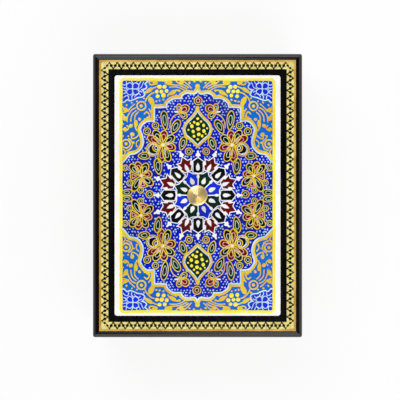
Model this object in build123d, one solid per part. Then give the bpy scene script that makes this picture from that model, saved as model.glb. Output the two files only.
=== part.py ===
from build123d import *
import math
import os

# Inlaid jewelry box: a black-lacquered wooden box with a hinged lid. The lid's top carries a mitred
# border of triangle marquetry and a domed enamelled plate, with a turned brass knob at its centre.
# The inside is lined with velvet. Frame: +Z up, +X along the long side, the hinges at the back (+Y),
# origin on the table under the middle of the box. All sizes are in millimetres.

# Overall sizes
box_length = 218.0  # outside, along X
box_width = 161.0  # outside, along Y
body_height = 50.0  # the wooden body, from its underside to the seam
lid_height = 18.0  # the lid's rails, from the seam to the lid's flat top

# Carcass and lid frame
wall = 10.0  # body walls
rail_step = 0.5  # lid rails are thinner by this, so that they clear the lining inside
seam_gap = 0.3  # between body and closed lid
seam_bevel = 0.4  # broken edges along the seam
foot_bevel = 1.2  # broken edge round the underside
corner_round = 2.5  # the box's upright corners
bottom_board = 4.0  # the board let into the walls' underside
bottom_ledge = 5.0  # how much of each wall's thickness laps that board
top_board = 5.0  # the board let into the lid's rails
lid_border = 5.2  # black rail seen outside the inlay
lid_flat = 0.2  # level part of that border, inside the rounded edge
board_gap = 0.1  # clearance of a board in its rebate

# Marquetry border: light triangles on a dark ground, with a dark lozenge at the middle of each leg
triangle_side = 6.2  # nearest whole number of triangles is fitted to each strip
band = 5.4  # width of the triangle strip
inlay_thickness = 1.2
ground_thickness = 0.4  # dark strip under the triangles
filet_width = 1.6  # plain strip beside the triangles
inlay_gap = 0.02  # glue line round each inlaid piece
zigzag_line = 0.5  # dark line left between two triangles
point_cut = 1.2  # taken off each triangle's point
lozenge_length = 2.8  # along the triangle's leg
lozenge_width = 2.2
side_band_height = 25.0  # middle of the band round the body, above the table

# Enamelled plate
plate_margin = 4.9  # black board seen between the marquetry and the plate
plate_thickness = 0.9
plate_corner = 2.0  # corner radius
plate_flange = 2.6  # flat edge before the dome starts
dome_rise = 5.0
bed_inset = 9.0  # from the plate's edge to the wooden bed under the dome
bed_gap = 0.1  # clearance between the bed and the plate

# Brass knob with its fixings
knob_head = 15.2  # diameter
knob_foot = 9.0
knob_neck = 5.6
knob_height = 12.0
knob_foot_edge = 0.9  # thickness of the foot's edge
knob_cove = 3.6  # height of the hollow above the foot
knob_bead = 1.1  # height of the bead round the neck
knob_rim = 1.6  # thickness of the head's edge
rim_width = 1.0  # flat ring round the head's face
face_step = 0.35  # from that ring down to the face
knob_crown = 0.8  # how far the face rises again to its middle
dimple = 1.5  # diameter of the mark left by the lathe's centre
collar_diameter = 11.0
collar_thickness = 0.8
seat_gap = 0.02  # under the collar and the knob
screw_radius = 1.5
screw_depth = 6.0  # into the knob
screw_head = 6.0
screw_head_height = 1.7
washer_diameter = 8.0
washer_thickness = 0.6
running_gap = 0.1  # round screws in plain holes

# Hinges, let into the seam behind the bevels that stop the lid
hinge_spread = 61.0  # from the middle of the box to the middle of each hinge
hinge_length = 25.0
leaf_margin = 0.6  # wood left between the leaf's edge and the inside of the rail
leaf_thickness = 0.8
barrel_radius = 1.6
pin_radius = 0.7
pin_gap = 0.05
knuckle_gap = 0.15
barrel_gap = 0.25  # wood cut away round the barrel
hinge_inset = 3.5  # from the back of the box to the pin
lid_opening = 100.0  # degrees, where the two bevels meet
stop_slack = 1.0  # degrees left between the bevels at that angle

# Velvet lining and felt
felt_thickness = 1.0
felt_inset = 3.0
lining = 2.0  # velvet on card, round the walls
lining_above_seam = 4.0
lining_gap = 0.05
pad_edge = 3.5  # thickness of the padded velvet at its edge
pad_crown = 2.5  # and how far it swells in the middle
pad_waist = 0.7  # how far a pad's sides draw in between its corners
pad_gap = 0.3  # round a pad's corners

# Heights and places that follow from the sizes above
rail = wall - rail_step
lid_round = lid_border - lid_flat
leaf_width = rail - hinge_inset - leaf_margin  # from the pin to the leaf's edge
body_bottom = felt_thickness
body_top = body_bottom + body_height
seam = body_top + seam_gap / 2
lid_bottom = body_top + seam_gap
lid_top = lid_bottom + lid_height
floor_top = body_bottom + bottom_board
ceiling = lid_top - top_board
plate_length = box_length - 2 * (lid_border + filet_width + band + plate_margin)
plate_width = box_width - 2 * (lid_border + filet_width + band + plate_margin)
dome_length = plate_length - 2 * plate_flange
dome_width = plate_width - 2 * plate_flange
plate_top = lid_top + plate_thickness + dome_rise
hinge_y = box_width / 2 - hinge_inset
far = 2 * (box_length + box_width + body_height + lid_height)  # longer than anything here

# Each side of the box: its name, its turn about Z, its run along the outside, and its distance out
sides = [
    ("front", 0, box_length, box_width / 2),
    ("right", 90, box_width, box_length / 2),
    ("back", 180, box_length, box_width / 2),
    ("left", 270, box_width, box_length / 2),
]
parts = {}


def add(name, shape):
    """Keep a finished piece under its node name."""
    shape.label = name
    parts[name] = shape


def closed_face(*points):
    """A flat face inside the straight lines between the points."""
    return make_face(Polyline(*points, close=True))


def slab(low, high):
    """A rectangular block between two corners."""
    size = [b - a for a, b in zip(low, high)]
    middle = [(a + b) / 2 for a, b in zip(low, high)]
    return Pos(*middle) * Box(*size)


def rod(radius, low, high, axis="Z", at=(0, 0)):
    """A round rod along Z or X between two stations, centred at the other two coordinates."""
    bar = Pos(0, 0, (low + high) / 2) * Cylinder(radius, high - low)
    if axis == "Z":
        return Pos(at[0], at[1], 0) * bar
    return Pos(0, at[0], at[1]) * Rot(0, 90, 0) * bar


def mitred(section, run, out, depth):
    """A bar along X with its outer face at y = -out. Its section is drawn as (inward, up)."""
    outline = Plane.YZ * Pos(-out, 0) * section
    bar = extrude(outline, amount=run / 2, both=True)
    plan = closed_face(
        (-run / 2, -out),
        (run / 2, -out),
        (run / 2 - depth, -out + depth),
        (-run / 2 + depth, -out + depth),
    )
    return bar & extrude(plan, amount=far, both=True)


def round_the_box(prefix, section, depth, start=0.0):
    """Four mitred bars round the box, whose section starts that far in from the outside."""
    for name, turn, run, out in sides:
        bar = mitred(section, run - 2 * start, out - start, depth)
        add(f"{prefix}_{name}", Rot(0, 0, turn) * bar)


# Carcass


def band_outline():
    """Lower and upper edge of the band let into the body's sides."""
    half = band / 2 + filet_width
    return side_band_height - half, side_band_height + half


def wall_section():
    """A body wall, rebated for the bottom board and the inlaid band."""
    low, high = band_outline()
    return closed_face(
        (foot_bevel, body_bottom),
        (0, body_bottom + foot_bevel),
        (0, low),
        (inlay_thickness, low),
        (inlay_thickness, high),
        (0, high),
        (0, body_top - seam_bevel),
        (seam_bevel, body_top),
        (wall, body_top),
        (wall, floor_top),
        (wall - bottom_ledge, floor_top),
        (wall - bottom_ledge, body_bottom),
    )


def rounded_column():
    """The box's outline in plan, with its rounded corners, extruded far up and down."""
    return extrude(RectangleRounded(box_length, box_width, corner_round), amount=far, both=True)


def round_corners(prefix):
    """Round the upright corners of the body or the lid frame."""
    column = rounded_column()
    for name, *_ in sides:
        parts[f"{prefix}_{name}"] &= column


def stop_bevels():
    """The wood cut from both sides of the back seam, to angles that meet when the lid is open."""
    reach = hinge_inset + 1
    height = reach * math.tan(math.radians((lid_opening + stop_slack) / 2))
    outline = closed_face(
        (hinge_y, seam), (hinge_y + reach, seam - height), (hinge_y + reach, seam + height)
    )
    return extrude(Plane.YZ * outline, amount=far, both=True)


def fit_hinges(prefix, below):
    """Bevel the back seam of the body or the lid, and let the hinges in."""
    for side in ("left", "right", "back"):
        parts[f"{prefix}_{side}"] -= stop_bevels()
    parts[f"{prefix}_back"] -= hinge_mortises(below)


def make_carcass():
    """Four mitred walls, the board they hold, and the felt underneath."""
    round_the_box("wall", wall_section(), wall)
    round_corners("wall")
    fit_hinges("wall", below=True)
    inset = wall - bottom_ledge + board_gap
    board = slab(
        (-box_length / 2 + inset, -box_width / 2 + inset, body_bottom),
        (box_length / 2 - inset, box_width / 2 - inset, floor_top),
    )
    add("bottom_board", board)
    felt = RectangleRounded(box_length - 2 * felt_inset, box_width - 2 * felt_inset, felt_inset)
    add("felt_base", extrude(felt, amount=felt_thickness))


# Lid frame


def rail_section():
    """A lid rail, rounded outside and rebated for the top board."""
    shoulder = (0, lid_top - lid_round)
    rounding = lid_round * (1 - math.sqrt(0.5))
    edge = Polyline(
        (lid_round, lid_top),
        (lid_border, lid_top),
        (lid_border, ceiling),
        (rail, ceiling),
        (rail, lid_bottom),
        (seam_bevel, lid_bottom),
        (0, lid_bottom + seam_bevel),
        shoulder,
    )
    arc = ThreePointArc(shoulder, (rounding, lid_top - rounding), (lid_round, lid_top))
    return make_face(Curve() + [edge, arc])


def make_lid_frame():
    """Four mitred rails and the board that carries the inlay and the plate."""
    round_the_box("lid_rail", rail_section(), rail)
    round_corners("lid_rail")
    fit_hinges("lid_rail", below=False)
    inset = lid_border + board_gap
    board = slab(
        (-box_length / 2 + inset, -box_width / 2 + inset, ceiling),
        (box_length / 2 - inset, box_width / 2 - inset, lid_top),
    )
    field = lid_border + filet_width + band + inlay_gap
    rebate = slab((-far, -far, lid_top - inlay_thickness), (far, far, far)) - slab(
        (-box_length / 2 + field, -box_width / 2 + field, 0),
        (box_length / 2 - field, box_width / 2 - field, far + 1),
    )
    board -= rebate
    board -= rod(screw_radius + running_gap, 0, far)
    board -= rod(washer_diameter / 2 + running_gap, 0, ceiling + screw_head_height + washer_thickness)
    add("lid_board", board)


# Marquetry


def beside_leg(pitch, along, inward):
    """A point that far up the right leg of a triangle with its base down, and that far inside it."""
    leg = math.hypot(pitch / 2, band)
    cosine, sine = pitch / 2 / leg, band / leg
    return pitch / 2 - cosine * along - sine * inward, sine * along - cosine * inward


def light_tile(pitch):
    """Corners of a light triangle: its point cut off, its legs notched for the lozenges."""
    leg = math.hypot(pitch / 2, band)
    slope, sine = pitch / 2 / leg, band / leg
    side = zigzag_line / 2
    low = slope * side / sine
    high = (band - point_cut + slope * side) / sine
    notch = lozenge_length / 2 * (1 - zigzag_line / lozenge_width) + inlay_gap
    right = [
        beside_leg(pitch, low, side),
        beside_leg(pitch, leg / 2 - notch, side),
        beside_leg(pitch, leg / 2, lozenge_width / 2 + inlay_gap),
        beside_leg(pitch, leg / 2 + notch, side),
        beside_leg(pitch, high, side),
    ]
    return right + [(-x, y) for x, y in reversed(right)]


def lozenge(pitch):
    """Corners of the dark lozenge on the right leg of a triangle."""
    middle = math.hypot(pitch / 2, band) / 2
    stations = [(-1, 0), (0, 1), (1, 0), (0, -1)]
    return [
        beside_leg(pitch, middle + a * lozenge_length / 2, b * lozenge_width / 2)
        for a, b in stations
    ]


def zigzag(run):
    """Corners of all light and all dark pieces of a strip, before the mitres cut them."""
    count = round(run / triangle_side)
    pitch = run / count
    light, dark = [], []
    for i in range(1, 2 * count):
        middle = -run / 2 + i * pitch / 2
        base_out = i % 2 == 1
        for corners, kept in ((light_tile(pitch), light), (lozenge(pitch), dark)):
            kept.append([(middle + x, y if base_out else band - y) for x, y in corners])
    return light, dark


def marquetry_strip(run, out):
    """The light and the dark pieces of a mitred strip, its outer edge that far from the middle."""
    light, dark = zigzag(run)
    limit = run / 2 - inlay_gap * math.sqrt(2)
    plan = closed_face((-limit, 0), (limit, 0), (limit - band, band), (band - limit, band))
    place = Pos(0, -out, lid_top - inlay_thickness)
    height = (0, 0, inlay_thickness - ground_thickness)
    pieces = {"light": [], "dark": []}
    for kind, outlines in (("light", light), ("dark", dark)):
        for corners in outlines:
            face = Pos(0, 0, ground_thickness) * closed_face(*corners)
            if any(abs(x) + y > limit for x, y in corners):
                if kind == "dark":
                    continue
                face = face & Pos(0, 0, ground_thickness) * plan
            pieces[kind] += [place * Solid.extrude(cut, height) for cut in face.faces()]
    section = rectangle_section(inlay_gap, band - inlay_gap, 0, ground_thickness)
    ground = Pos(0, 0, lid_top - inlay_thickness) * mitred(section, run, out, band)
    pieces["dark"].append(ground.solid())
    return Compound(children=pieces["light"]), Compound(children=pieces["dark"])


def rectangle_section(low_in, high_in, low, high):
    """A rectangular section for mitred(), drawn as (inward, up)."""
    return closed_face((low_in, low), (high_in, low), (high_in, high), (low_in, high))


def make_lid_inlay():
    """The plain outer filet, then the triangle marquetry, both mitred at the corners."""
    bottom = lid_top - inlay_thickness
    filet = rectangle_section(inlay_gap, filet_width - inlay_gap, bottom, lid_top)
    round_the_box("filet", filet, filet_width, start=lid_border)
    start = lid_border + filet_width
    for name, turn, run, out in sides:
        light, dark = marquetry_strip(run - 2 * start, out - start)
        add(f"marquetry_{name}", Rot(0, 0, turn) * light)
        add(f"marquetry_dark_{name}", Rot(0, 0, turn) * dark)


def make_side_bands():
    """The band let into each body wall: a marquetry strip between two plain filets."""
    low, high = band_outline()
    column = rounded_column()
    for name, turn, run, out in sides:
        half = run / 2 if name in ("front", "back") else run / 2 - inlay_thickness
        stations = [
            ("marquetry", low + filet_width, high - filet_width),
            ("filet", low, low + filet_width),
            ("filet", high - filet_width, high),
        ]
        strips = {}
        for kind, a, b in stations:
            strip = slab(
                (-half + inlay_gap, -out, a + inlay_gap),
                (half - inlay_gap, -out + inlay_thickness - inlay_gap, b - inlay_gap),
            )
            strips.setdefault(kind, []).append(Rot(0, 0, turn) * strip & column)
        add(f"side_marquetry_{name}", strips["marquetry"][0])
        add(f"side_filets_{name}", Compound(children=[strip.solid() for strip in strips["filet"]]))


# Enamelled plate


def crowned_face(long, wide, rise, height):
    """A rectangular patch that is level along its four edges and swells to rise in the middle."""
    lift = rise * 16 / 9  # a bicubic patch reaches 9/16 of its middle points' height
    rows = []
    for i in range(4):
        x = long * (i / 3 - 0.5)
        rows.append(
            [Vector(x, wide * (j / 3 - 0.5), height + (lift if 0 < i < 3 and 0 < j < 3 else 0))
             for j in range(4)]
        )
    return Face.make_bezier_surface(rows)


def make_plate():
    """The domed plate with its flat flange, and the wooden bed that fills the dome."""
    dome = Solid.extrude(crowned_face(dome_length, dome_width, dome_rise, lid_top), (0, 0, plate_thickness))
    ring = RectangleRounded(plate_length, plate_width, plate_corner) - Rectangle(dome_length, dome_width)
    flange = Pos(0, 0, lid_top) * extrude(ring, amount=plate_thickness)
    hole = rod(screw_radius + running_gap, 0, far)
    add("enamel_plate", flange + dome - hole)
    lid_field = slab(
        (-plate_length / 2 + bed_inset, -plate_width / 2 + bed_inset, lid_top),
        (plate_length / 2 - bed_inset, plate_width / 2 - bed_inset, far),
    )
    under = Solid.extrude(
        crowned_face(dome_length, dome_width, dome_rise, lid_top - bed_gap), (0, 0, -dome_rise - top_board)
    )
    add("plate_bed", under & lid_field - hole)


# Knob


def knob_profile(base):
    """Half section of the turned knob: foot, hollow, bead, bowl, and a ringed face."""
    foot_r, neck_r, head_r = knob_foot / 2, knob_neck / 2, knob_head / 2
    top = base + knob_height
    cove_low = base + knob_foot_edge
    cove_high = cove_low + knob_cove
    bowl_low = cove_high + knob_bead
    bowl_high = top - knob_rim
    shoulder = foot_r - 0.6
    foot = Polyline((0, base), (foot_r, base), (foot_r, cove_low), (shoulder, cove_low))
    cove_x = neck_r + 0.22 * (shoulder - neck_r)
    cove = ThreePointArc((shoulder, cove_low), (cove_x, cove_low + knob_cove / 2.4), (neck_r, cove_high))
    bead = ThreePointArc((neck_r, cove_high), (neck_r + knob_bead / 2, (cove_high + bowl_low) / 2),
                         (neck_r, bowl_low))
    bulge = 0.9  # of the bowl, beyond the straight line from neck to rim
    slope = math.atan2(bowl_high - bowl_low, head_r - neck_r)
    middle = ((neck_r + head_r) / 2 + bulge * math.sin(slope),
              (bowl_low + bowl_high) / 2 - bulge * math.cos(slope))
    bowl = ThreePointArc((neck_r, bowl_low), middle, (head_r, bowl_high))
    ring = head_r - rim_width
    step = top - face_step
    edge = Polyline((head_r, bowl_high), (head_r, top - 0.4), (head_r - 0.4, top), (ring, top), (ring - 0.2, step))
    dip = dimple / 2
    crown = step + knob_crown
    face = Polyline((ring - 0.2, step), (dip, crown), (0, crown - 0.6 * dip), (0, base))
    return make_face(Curve() + [foot, cove, bead, bowl, edge, face])


def make_knob():
    """Turned brass knob on a collar, held by a screw and a washer from under the lid."""
    base = plate_top + seat_gap + collar_thickness
    foot = base + seat_gap
    knob = revolve(Plane.XZ * knob_profile(foot), Axis.Z)
    knob -= rod(screw_radius + pin_gap, foot - 1, base + screw_depth + 0.3)
    add("knob", knob)
    # the collar is dished underneath to sit on the crown of the plate
    skirt = plate_top - dome_rise + crown_height_at(collar_diameter / 2)
    collar = rod(collar_diameter / 2, skirt, base)
    collar = chamfer(collar.edges().group_by(Axis.Z)[-1], 0.35)
    collar -= Pos(0, 0, seat_gap) * plate_top_solid() + rod(screw_radius + running_gap, 0, far)
    add("knob_collar", collar)
    washer_low = ceiling + screw_head_height
    washer = rod(washer_diameter / 2, washer_low, washer_low + washer_thickness)
    add("knob_washer", washer - rod(screw_radius + running_gap, 0, far))
    head = rod(screw_head / 2, ceiling + 0.05, washer_low)
    head = chamfer(head.edges().group_by(Axis.Z)[0], 0.6)
    head -= slab((-far, -0.4, 0), (far, 0.4, ceiling + 0.75))
    add("knob_screw", head + rod(screw_radius, washer_low, base + screw_depth))


def crown_height_at(radius):
    """Height of the plate's dome above its flange, that far from the middle along the short side."""
    v = 0.5 + radius / dome_width
    return dome_rise * 4 * v * (1 - v)


def plate_top_solid():
    """Everything under the plate's top face, to seat what stands on it."""
    face = crowned_face(dome_length, dome_width, dome_rise, lid_top + plate_thickness)
    return Solid.extrude(face, (0, 0, -top_board))


# Hinges


def hinge_parts():
    """One hinge about X at the origin, closed: fixed leaf, moving leaf and pin."""
    half, third = hinge_length / 2, hinge_length / 6
    spans = [(-half, -third), (-third + knuckle_gap, third - knuckle_gap), (third, half)]
    bore = rod(pin_radius + pin_gap, -half - 1, half + 1, "X")
    barrels = [rod(barrel_radius, a, b, "X") for a, b in spans]
    reliefs = [
        rod(barrel_radius + barrel_gap, a - knuckle_gap, b + knuckle_gap, "X") for a, b in spans
    ]
    leaves = []
    for sign, own in ((-1, (0, 2)), (1, (1,))):
        faces = sorted((sign * seam_gap / 2, sign * (seam_gap / 2 + leaf_thickness)))
        leaf = slab((-half, -leaf_width, faces[0]), (half, 0, faces[1]))
        for i, relief in enumerate(reliefs):
            if i not in own:
                leaf -= relief
        for i in own:
            leaf += barrels[i]
        leaf -= bore
        leaves.append(leaf)
    pin = rod(pin_radius, -half, half, "X")
    return leaves[0], leaves[1], pin


def hinge_places():
    """Where the two hinges' middles lie."""
    return [("left", Pos(-hinge_spread, hinge_y, seam)), ("right", Pos(hinge_spread, hinge_y, seam))]


def hinge_mortises(below):
    """Wood cut away for the leaves and barrels, in the body (below) or the lid."""
    half = hinge_length / 2 + barrel_gap
    sign = -1 if below else 1
    far_face = sign * (seam_gap / 2 + leaf_thickness)
    near_face = -sign * seam_gap
    low, high = sorted((near_face, far_face))
    cuts = []
    for _, place in hinge_places():
        recess = slab((-half, -leaf_width - board_gap, low), (half, hinge_inset, high))
        recess += rod(barrel_radius + barrel_gap, -half, half, "X")
        cuts.append(place * recess)
    return cuts


def make_hinges():
    """Two brass butt hinges with their pins."""
    fixed, moving, pin = hinge_parts()
    for name, place in hinge_places():
        add(f"hinge_fixed_leaf_{name}", place * fixed)
        add(f"hinge_moving_leaf_{name}", place * moving)
        add(f"hinge_pin_{name}", place * pin)


# Lining


def lining_section():
    """Velvet on card against a wall, its top edge rounded where it stands above the seam."""
    low, top = floor_top, body_top + lining_above_seam
    near, far_side = wall + lining_gap, wall + lining
    radius = (far_side - near) / 2
    edge = Polyline((near, top - radius), (near, low), (far_side, low), (far_side, top - radius))
    cap = ThreePointArc((near, top - radius), (near + radius, top), (far_side, top - radius))
    return make_face(Curve() + [edge, cap])


def crowned_pad(long, wide):
    """A padded board: flat underside at z = 0, drawn-in edges, crowned top."""
    pad = Solid.extrude(crowned_face(long, wide, pad_crown, pad_edge), (0, 0, -pad_edge - pad_crown))
    x, y = long / 2, wide / 2
    sides_in = [
        ThreePointArc((-x, -y), (0, pad_waist - y), (x, -y)),
        ThreePointArc((x, -y), (x - pad_waist, 0), (x, y)),
        ThreePointArc((x, y), (0, y - pad_waist), (-x, y)),
        ThreePointArc((-x, y), (pad_waist - x, 0), (-x, -y)),
    ]
    return pad & extrude(make_face(Curve() + sides_in), amount=far)


def make_lining():
    """Velvet round the walls, a padded floor, and a padded panel inside the lid."""
    round_the_box("lining", lining_section(), wall + lining)
    inside = wall + lining + pad_gap
    pad = crowned_pad(box_length - 2 * inside, box_width - 2 * inside)
    add("floor_pad", Pos(0, 0, floor_top) * pad)
    lid_inside = rail + pad_gap
    pad = crowned_pad(box_length - 2 * lid_inside, box_width - 2 * lid_inside)
    add("lid_pad", Pos(0, 0, ceiling) * Rot(180, 0, 0) * pad)


def main():
    """Build every piece, print what was made, and write one STEP file for each node."""
    make_carcass()
    make_lid_frame()
    make_lid_inlay()
    make_side_bands()
    make_plate()
    make_knob()
    make_hinges()
    make_lining()
    os.makedirs("parts", exist_ok=True)
    for name, shape in parts.items():
        export_step(shape, f"parts/{name}.step")
    print(len(parts), "nodes; plate", round(plate_length, 2), "by", round(plate_width, 2))
    print("marquetry band", round(band, 2), "hinge axis at y", hinge_y, "z", round(seam, 3))


main()
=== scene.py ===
# %% [markdown]
# # An inlaid jewelry box
# This file gives them their finishes, paints the enamel and upholsters the inside. Lengths here are in
# metres, as Blender's are, and the painted design is drawn in millimetres.

import math
import random

import bpy
import numpy as np
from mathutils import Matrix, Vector, noise
from mathutils.geometry import delaunay_2d_cdt
from mathutils.kdtree import KDTree


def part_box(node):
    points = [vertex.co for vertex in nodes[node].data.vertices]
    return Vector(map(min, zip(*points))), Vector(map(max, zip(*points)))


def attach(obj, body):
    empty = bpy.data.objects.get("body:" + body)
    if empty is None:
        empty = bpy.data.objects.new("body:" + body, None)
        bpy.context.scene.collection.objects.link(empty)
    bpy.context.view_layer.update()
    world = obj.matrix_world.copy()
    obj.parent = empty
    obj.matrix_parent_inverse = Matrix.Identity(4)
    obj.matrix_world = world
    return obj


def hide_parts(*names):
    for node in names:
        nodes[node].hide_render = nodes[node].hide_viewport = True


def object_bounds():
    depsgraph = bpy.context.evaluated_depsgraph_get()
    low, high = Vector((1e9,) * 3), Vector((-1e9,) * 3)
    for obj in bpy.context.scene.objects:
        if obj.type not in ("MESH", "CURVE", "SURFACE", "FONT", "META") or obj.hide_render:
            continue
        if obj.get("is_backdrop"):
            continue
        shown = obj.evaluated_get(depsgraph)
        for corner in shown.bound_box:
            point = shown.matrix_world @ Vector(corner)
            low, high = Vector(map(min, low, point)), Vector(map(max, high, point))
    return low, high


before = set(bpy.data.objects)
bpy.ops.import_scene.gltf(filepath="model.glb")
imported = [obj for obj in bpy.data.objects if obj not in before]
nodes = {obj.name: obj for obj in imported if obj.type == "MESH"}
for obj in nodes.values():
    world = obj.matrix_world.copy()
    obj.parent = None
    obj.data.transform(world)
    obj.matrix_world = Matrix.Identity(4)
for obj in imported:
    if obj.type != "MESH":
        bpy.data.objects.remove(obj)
cad_low, cad_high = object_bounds()
mm = 0.001
SIDES = ("front", "right", "back", "left")


def linked(name, data):
    """A new object in the scene."""
    made = bpy.data.objects.new(name, data)
    bpy.context.scene.collection.objects.link(made)
    return made


print("nodes", len(nodes), "size in mm", [round(v / mm, 1) for v in cad_high - cad_low])

# %% [markdown]
# ## Camera
# The photograph looks straight down on the closed lid, with the box's long side running up the picture.
# A long lens keeps the walls hidden behind the lid, as they are there. The camera could be aimed with a
# constraint, but here a plain turn about Z is enough, plus the small offset of the box in the picture.

# %% Camera over the lid
PICTURE_WIDTH = 306.2 * mm  # what the picture spans at the lid's top
CAMERA_DISTANCE = 0.95  # from the lid's top
OFF_CENTRE = (-3.4 * mm, -1.9 * mm)  # where the picture's centre falls, along X and Y
SENSOR = 36.0
lid_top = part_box("lid_board")[1].z

camera_data = bpy.data.cameras.new("camera")
camera_data.sensor_width = SENSOR
camera_data.lens = SENSOR * CAMERA_DISTANCE / PICTURE_WIDTH
camera_data.clip_start = 0.01
camera = linked("camera", camera_data)
camera.location = (OFF_CENTRE[0], OFF_CENTRE[1], lid_top + CAMERA_DISTANCE)
camera.rotation_euler = (0, 0, math.radians(-90))
bpy.context.scene.camera = camera
print("lens", round(camera_data.lens, 1), "mm")

# %% Node helpers
def connect(tree, node, *numbered, **named):
    """Give inputs, by place or by name with underscores for spaces, a value or a link from a socket."""
    given = list(zip(node.inputs, numbered))
    given += [(node.inputs[name.replace("_", " ")], value) for name, value in named.items()]
    for socket, value in given:
        if isinstance(value, bpy.types.NodeSocket):
            tree.links.new(value, socket)
        elif value is not None:
            socket.default_value = value
    return node


def add_node(tree, kind, *numbered, **named):
    """A new node with its inputs connected."""
    return connect(tree, tree.nodes.new(kind), *numbered, **named)


def math_node(tree, operation, first, second=None):
    """The result of a math node. Either operand is a socket or a number."""
    node = add_node(tree, "ShaderNodeMath", first, second)
    node.operation = operation
    return node.outputs[0]


def ramp(tree, value, low, high, out_low=0.0, out_high=1.0):
    """A value stretched from one range to another, clamped."""
    return add_node(tree, "ShaderNodeMapRange", value, low, high, out_low, out_high).outputs[0]


def blank_material(name):
    """A material with an empty node tree, and its output node."""
    made = bpy.data.materials.new(name)
    made.use_nodes = True
    made.node_tree.nodes.clear()
    return made, made.node_tree, made.node_tree.nodes.new("ShaderNodeOutputMaterial")

# %% [markdown]
# ## Floor, lamps and world
# Enamel and lacquer are glossy, so a lamp above the lid would whiten it in the camera. Long strips low at
# the ends of the box draw light along its rounded edges instead, the sky is dark overhead, and two fills
# at half height bring the colours up. The floor shows white to the camera and in reflections, and keeps a
# soft shadow, because its own colour is mixed with plain emission.

# %% Floor
FLOOR_SIZE = 6.0
FLOOR_GREY = 0.88
FLOOR_GLOW = 0.85  # share of plain white that the camera and reflections see


def make_floor():
    """A white sheet far wider than the picture."""
    half = FLOOR_SIZE / 2
    mesh = bpy.data.meshes.new("floor")
    mesh.from_pydata([(-half, -half, 0), (half, -half, 0), (half, half, 0), (-half, half, 0)], [], [(0, 1, 2, 3)])
    made, tree, out = blank_material("white_paper")
    paper = add_node(tree, "ShaderNodeBsdfDiffuse", Color=(FLOOR_GREY, FLOOR_GREY, FLOOR_GREY, 1))
    glow = add_node(tree, "ShaderNodeEmission", Color=(1, 1, 1, 1), Strength=1.0)
    ray = tree.nodes.new("ShaderNodeLightPath")
    seen = ray.outputs["Is Camera Ray"]
    for kind in ("Is Glossy Ray", "Is Transmission Ray"):
        seen = math_node(tree, "ADD", seen, ray.outputs[kind])
    share = math_node(tree, "MULTIPLY", seen, FLOOR_GLOW)
    mix = add_node(tree, "ShaderNodeMixShader", share, paper.outputs[0], glow.outputs[0])
    connect(tree, out, Surface=mix.outputs[0])
    mesh.materials.append(made)
    linked("floor", mesh)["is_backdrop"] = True


make_floor()

# %% Lamps and world
def softbox(name, place, aim, size, watts):
    """A rectangular area lamp at place that faces aim."""
    data = bpy.data.lights.new(name, "AREA")
    data.shape = "RECTANGLE"
    data.size, data.size_y = size
    data.energy = watts
    lamp = linked(name, data)
    lamp.location = place
    lamp.rotation_euler = (Vector(aim) - Vector(place)).to_track_quat("-Z", "Y").to_euler()


def make_world(zenith, horizon, reach):
    """A sky that is white at the horizon and darkens up to a height, given as the sine of the angle."""
    world = bpy.data.worlds.new("world")
    bpy.context.scene.world = world
    world.use_nodes = True
    tree = world.node_tree
    tree.nodes.clear()
    place = tree.nodes.new("ShaderNodeTexCoord").outputs["Generated"]
    upward = add_node(tree, "ShaderNodeSeparateXYZ", place).outputs[2]
    fade = ramp(tree, upward, 0.0, reach, horizon, zenith)
    light = add_node(tree, "ShaderNodeBackground", Color=(1, 1, 1, 1), Strength=fade)
    add_node(tree, "ShaderNodeOutputWorld", Surface=light.outputs[0])


LAMP_AIM = (0, 0, 0.05)
softbox("end_strip_far", (1.05, 0.0, 0.30), LAMP_AIM, (1.7, 0.34), 7.0)
softbox("end_strip_near", (-1.05, 0.0, 0.30), LAMP_AIM, (1.7, 0.34), 6.0)
softbox("front_strip", (0.1, -1.2, 0.35), LAMP_AIM, (1.2, 0.3), 1.6)
softbox("fill_far", (0.75, 0.35, 0.95), LAMP_AIM, (0.9, 0.9), 8.5)
softbox("fill_near", (-0.75, -0.35, 0.95), LAMP_AIM, (0.9, 0.9), 8.5)
make_world(zenith=0.02, horizon=1.0, reach=0.62)
bpy.context.scene.view_settings.view_transform = "Standard"

# %% [markdown]
# ## Shared effects
# Several finishes need the same things: a cloudy change of colour, a fine grain, turned rings. Each is a
# node group with named sockets that gives out a colour or a value. The shader stays in the material, so
# that every gloss setting can be read there.

# %% Node group helpers
def node_group(name, inputs, outputs):
    """A shader node group with float, colour and vector sockets, and its input and output nodes."""
    kinds = {float: "NodeSocketFloat", tuple: "NodeSocketColor", Vector: "NodeSocketVector"}
    group = bpy.data.node_groups.new(name, "ShaderNodeTree")
    for label, value in inputs.items():
        socket = group.interface.new_socket(label, in_out="INPUT", socket_type=kinds[type(value)])
        if not isinstance(value, Vector):
            socket.default_value = value
    for label, kind in outputs.items():
        group.interface.new_socket(label, in_out="OUTPUT", socket_type=kinds[kind])
    return group, group.nodes.new("NodeGroupInput").outputs, group.nodes.new("NodeGroupOutput")


def use_group(tree, group, place, **values):
    """A group placed in a material, with its vector and its other inputs."""
    node = tree.nodes.new("ShaderNodeGroup")
    node.node_tree = group
    return connect(tree, node, place, **values)


def noise_value(tree, vector, scale, detail=4.0, roughness=0.55):
    """Noise read at a vector."""
    sizes = {"Scale": scale, "Detail": detail, "Roughness": roughness}
    return add_node(tree, "ShaderNodeTexNoise", vector, **sizes).outputs[0]


def mix_colours(tree, factor, first, second):
    """Mix two colours, each a socket or an RGBA tuple."""
    node = tree.nodes.new("ShaderNodeMix")
    node.data_type = "RGBA"
    others = [None] * 5  # the sockets of the node's other data types
    return connect(tree, node, factor, *others, first, second).outputs[2]


# %% [markdown]
# ### Cloudy colour
# Fired enamel, bone and lacquer are never one flat colour. Two shades are mixed by soft noise in the
# object's own space, which needs no unwrapping and runs unbroken over mitres and edges.

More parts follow.
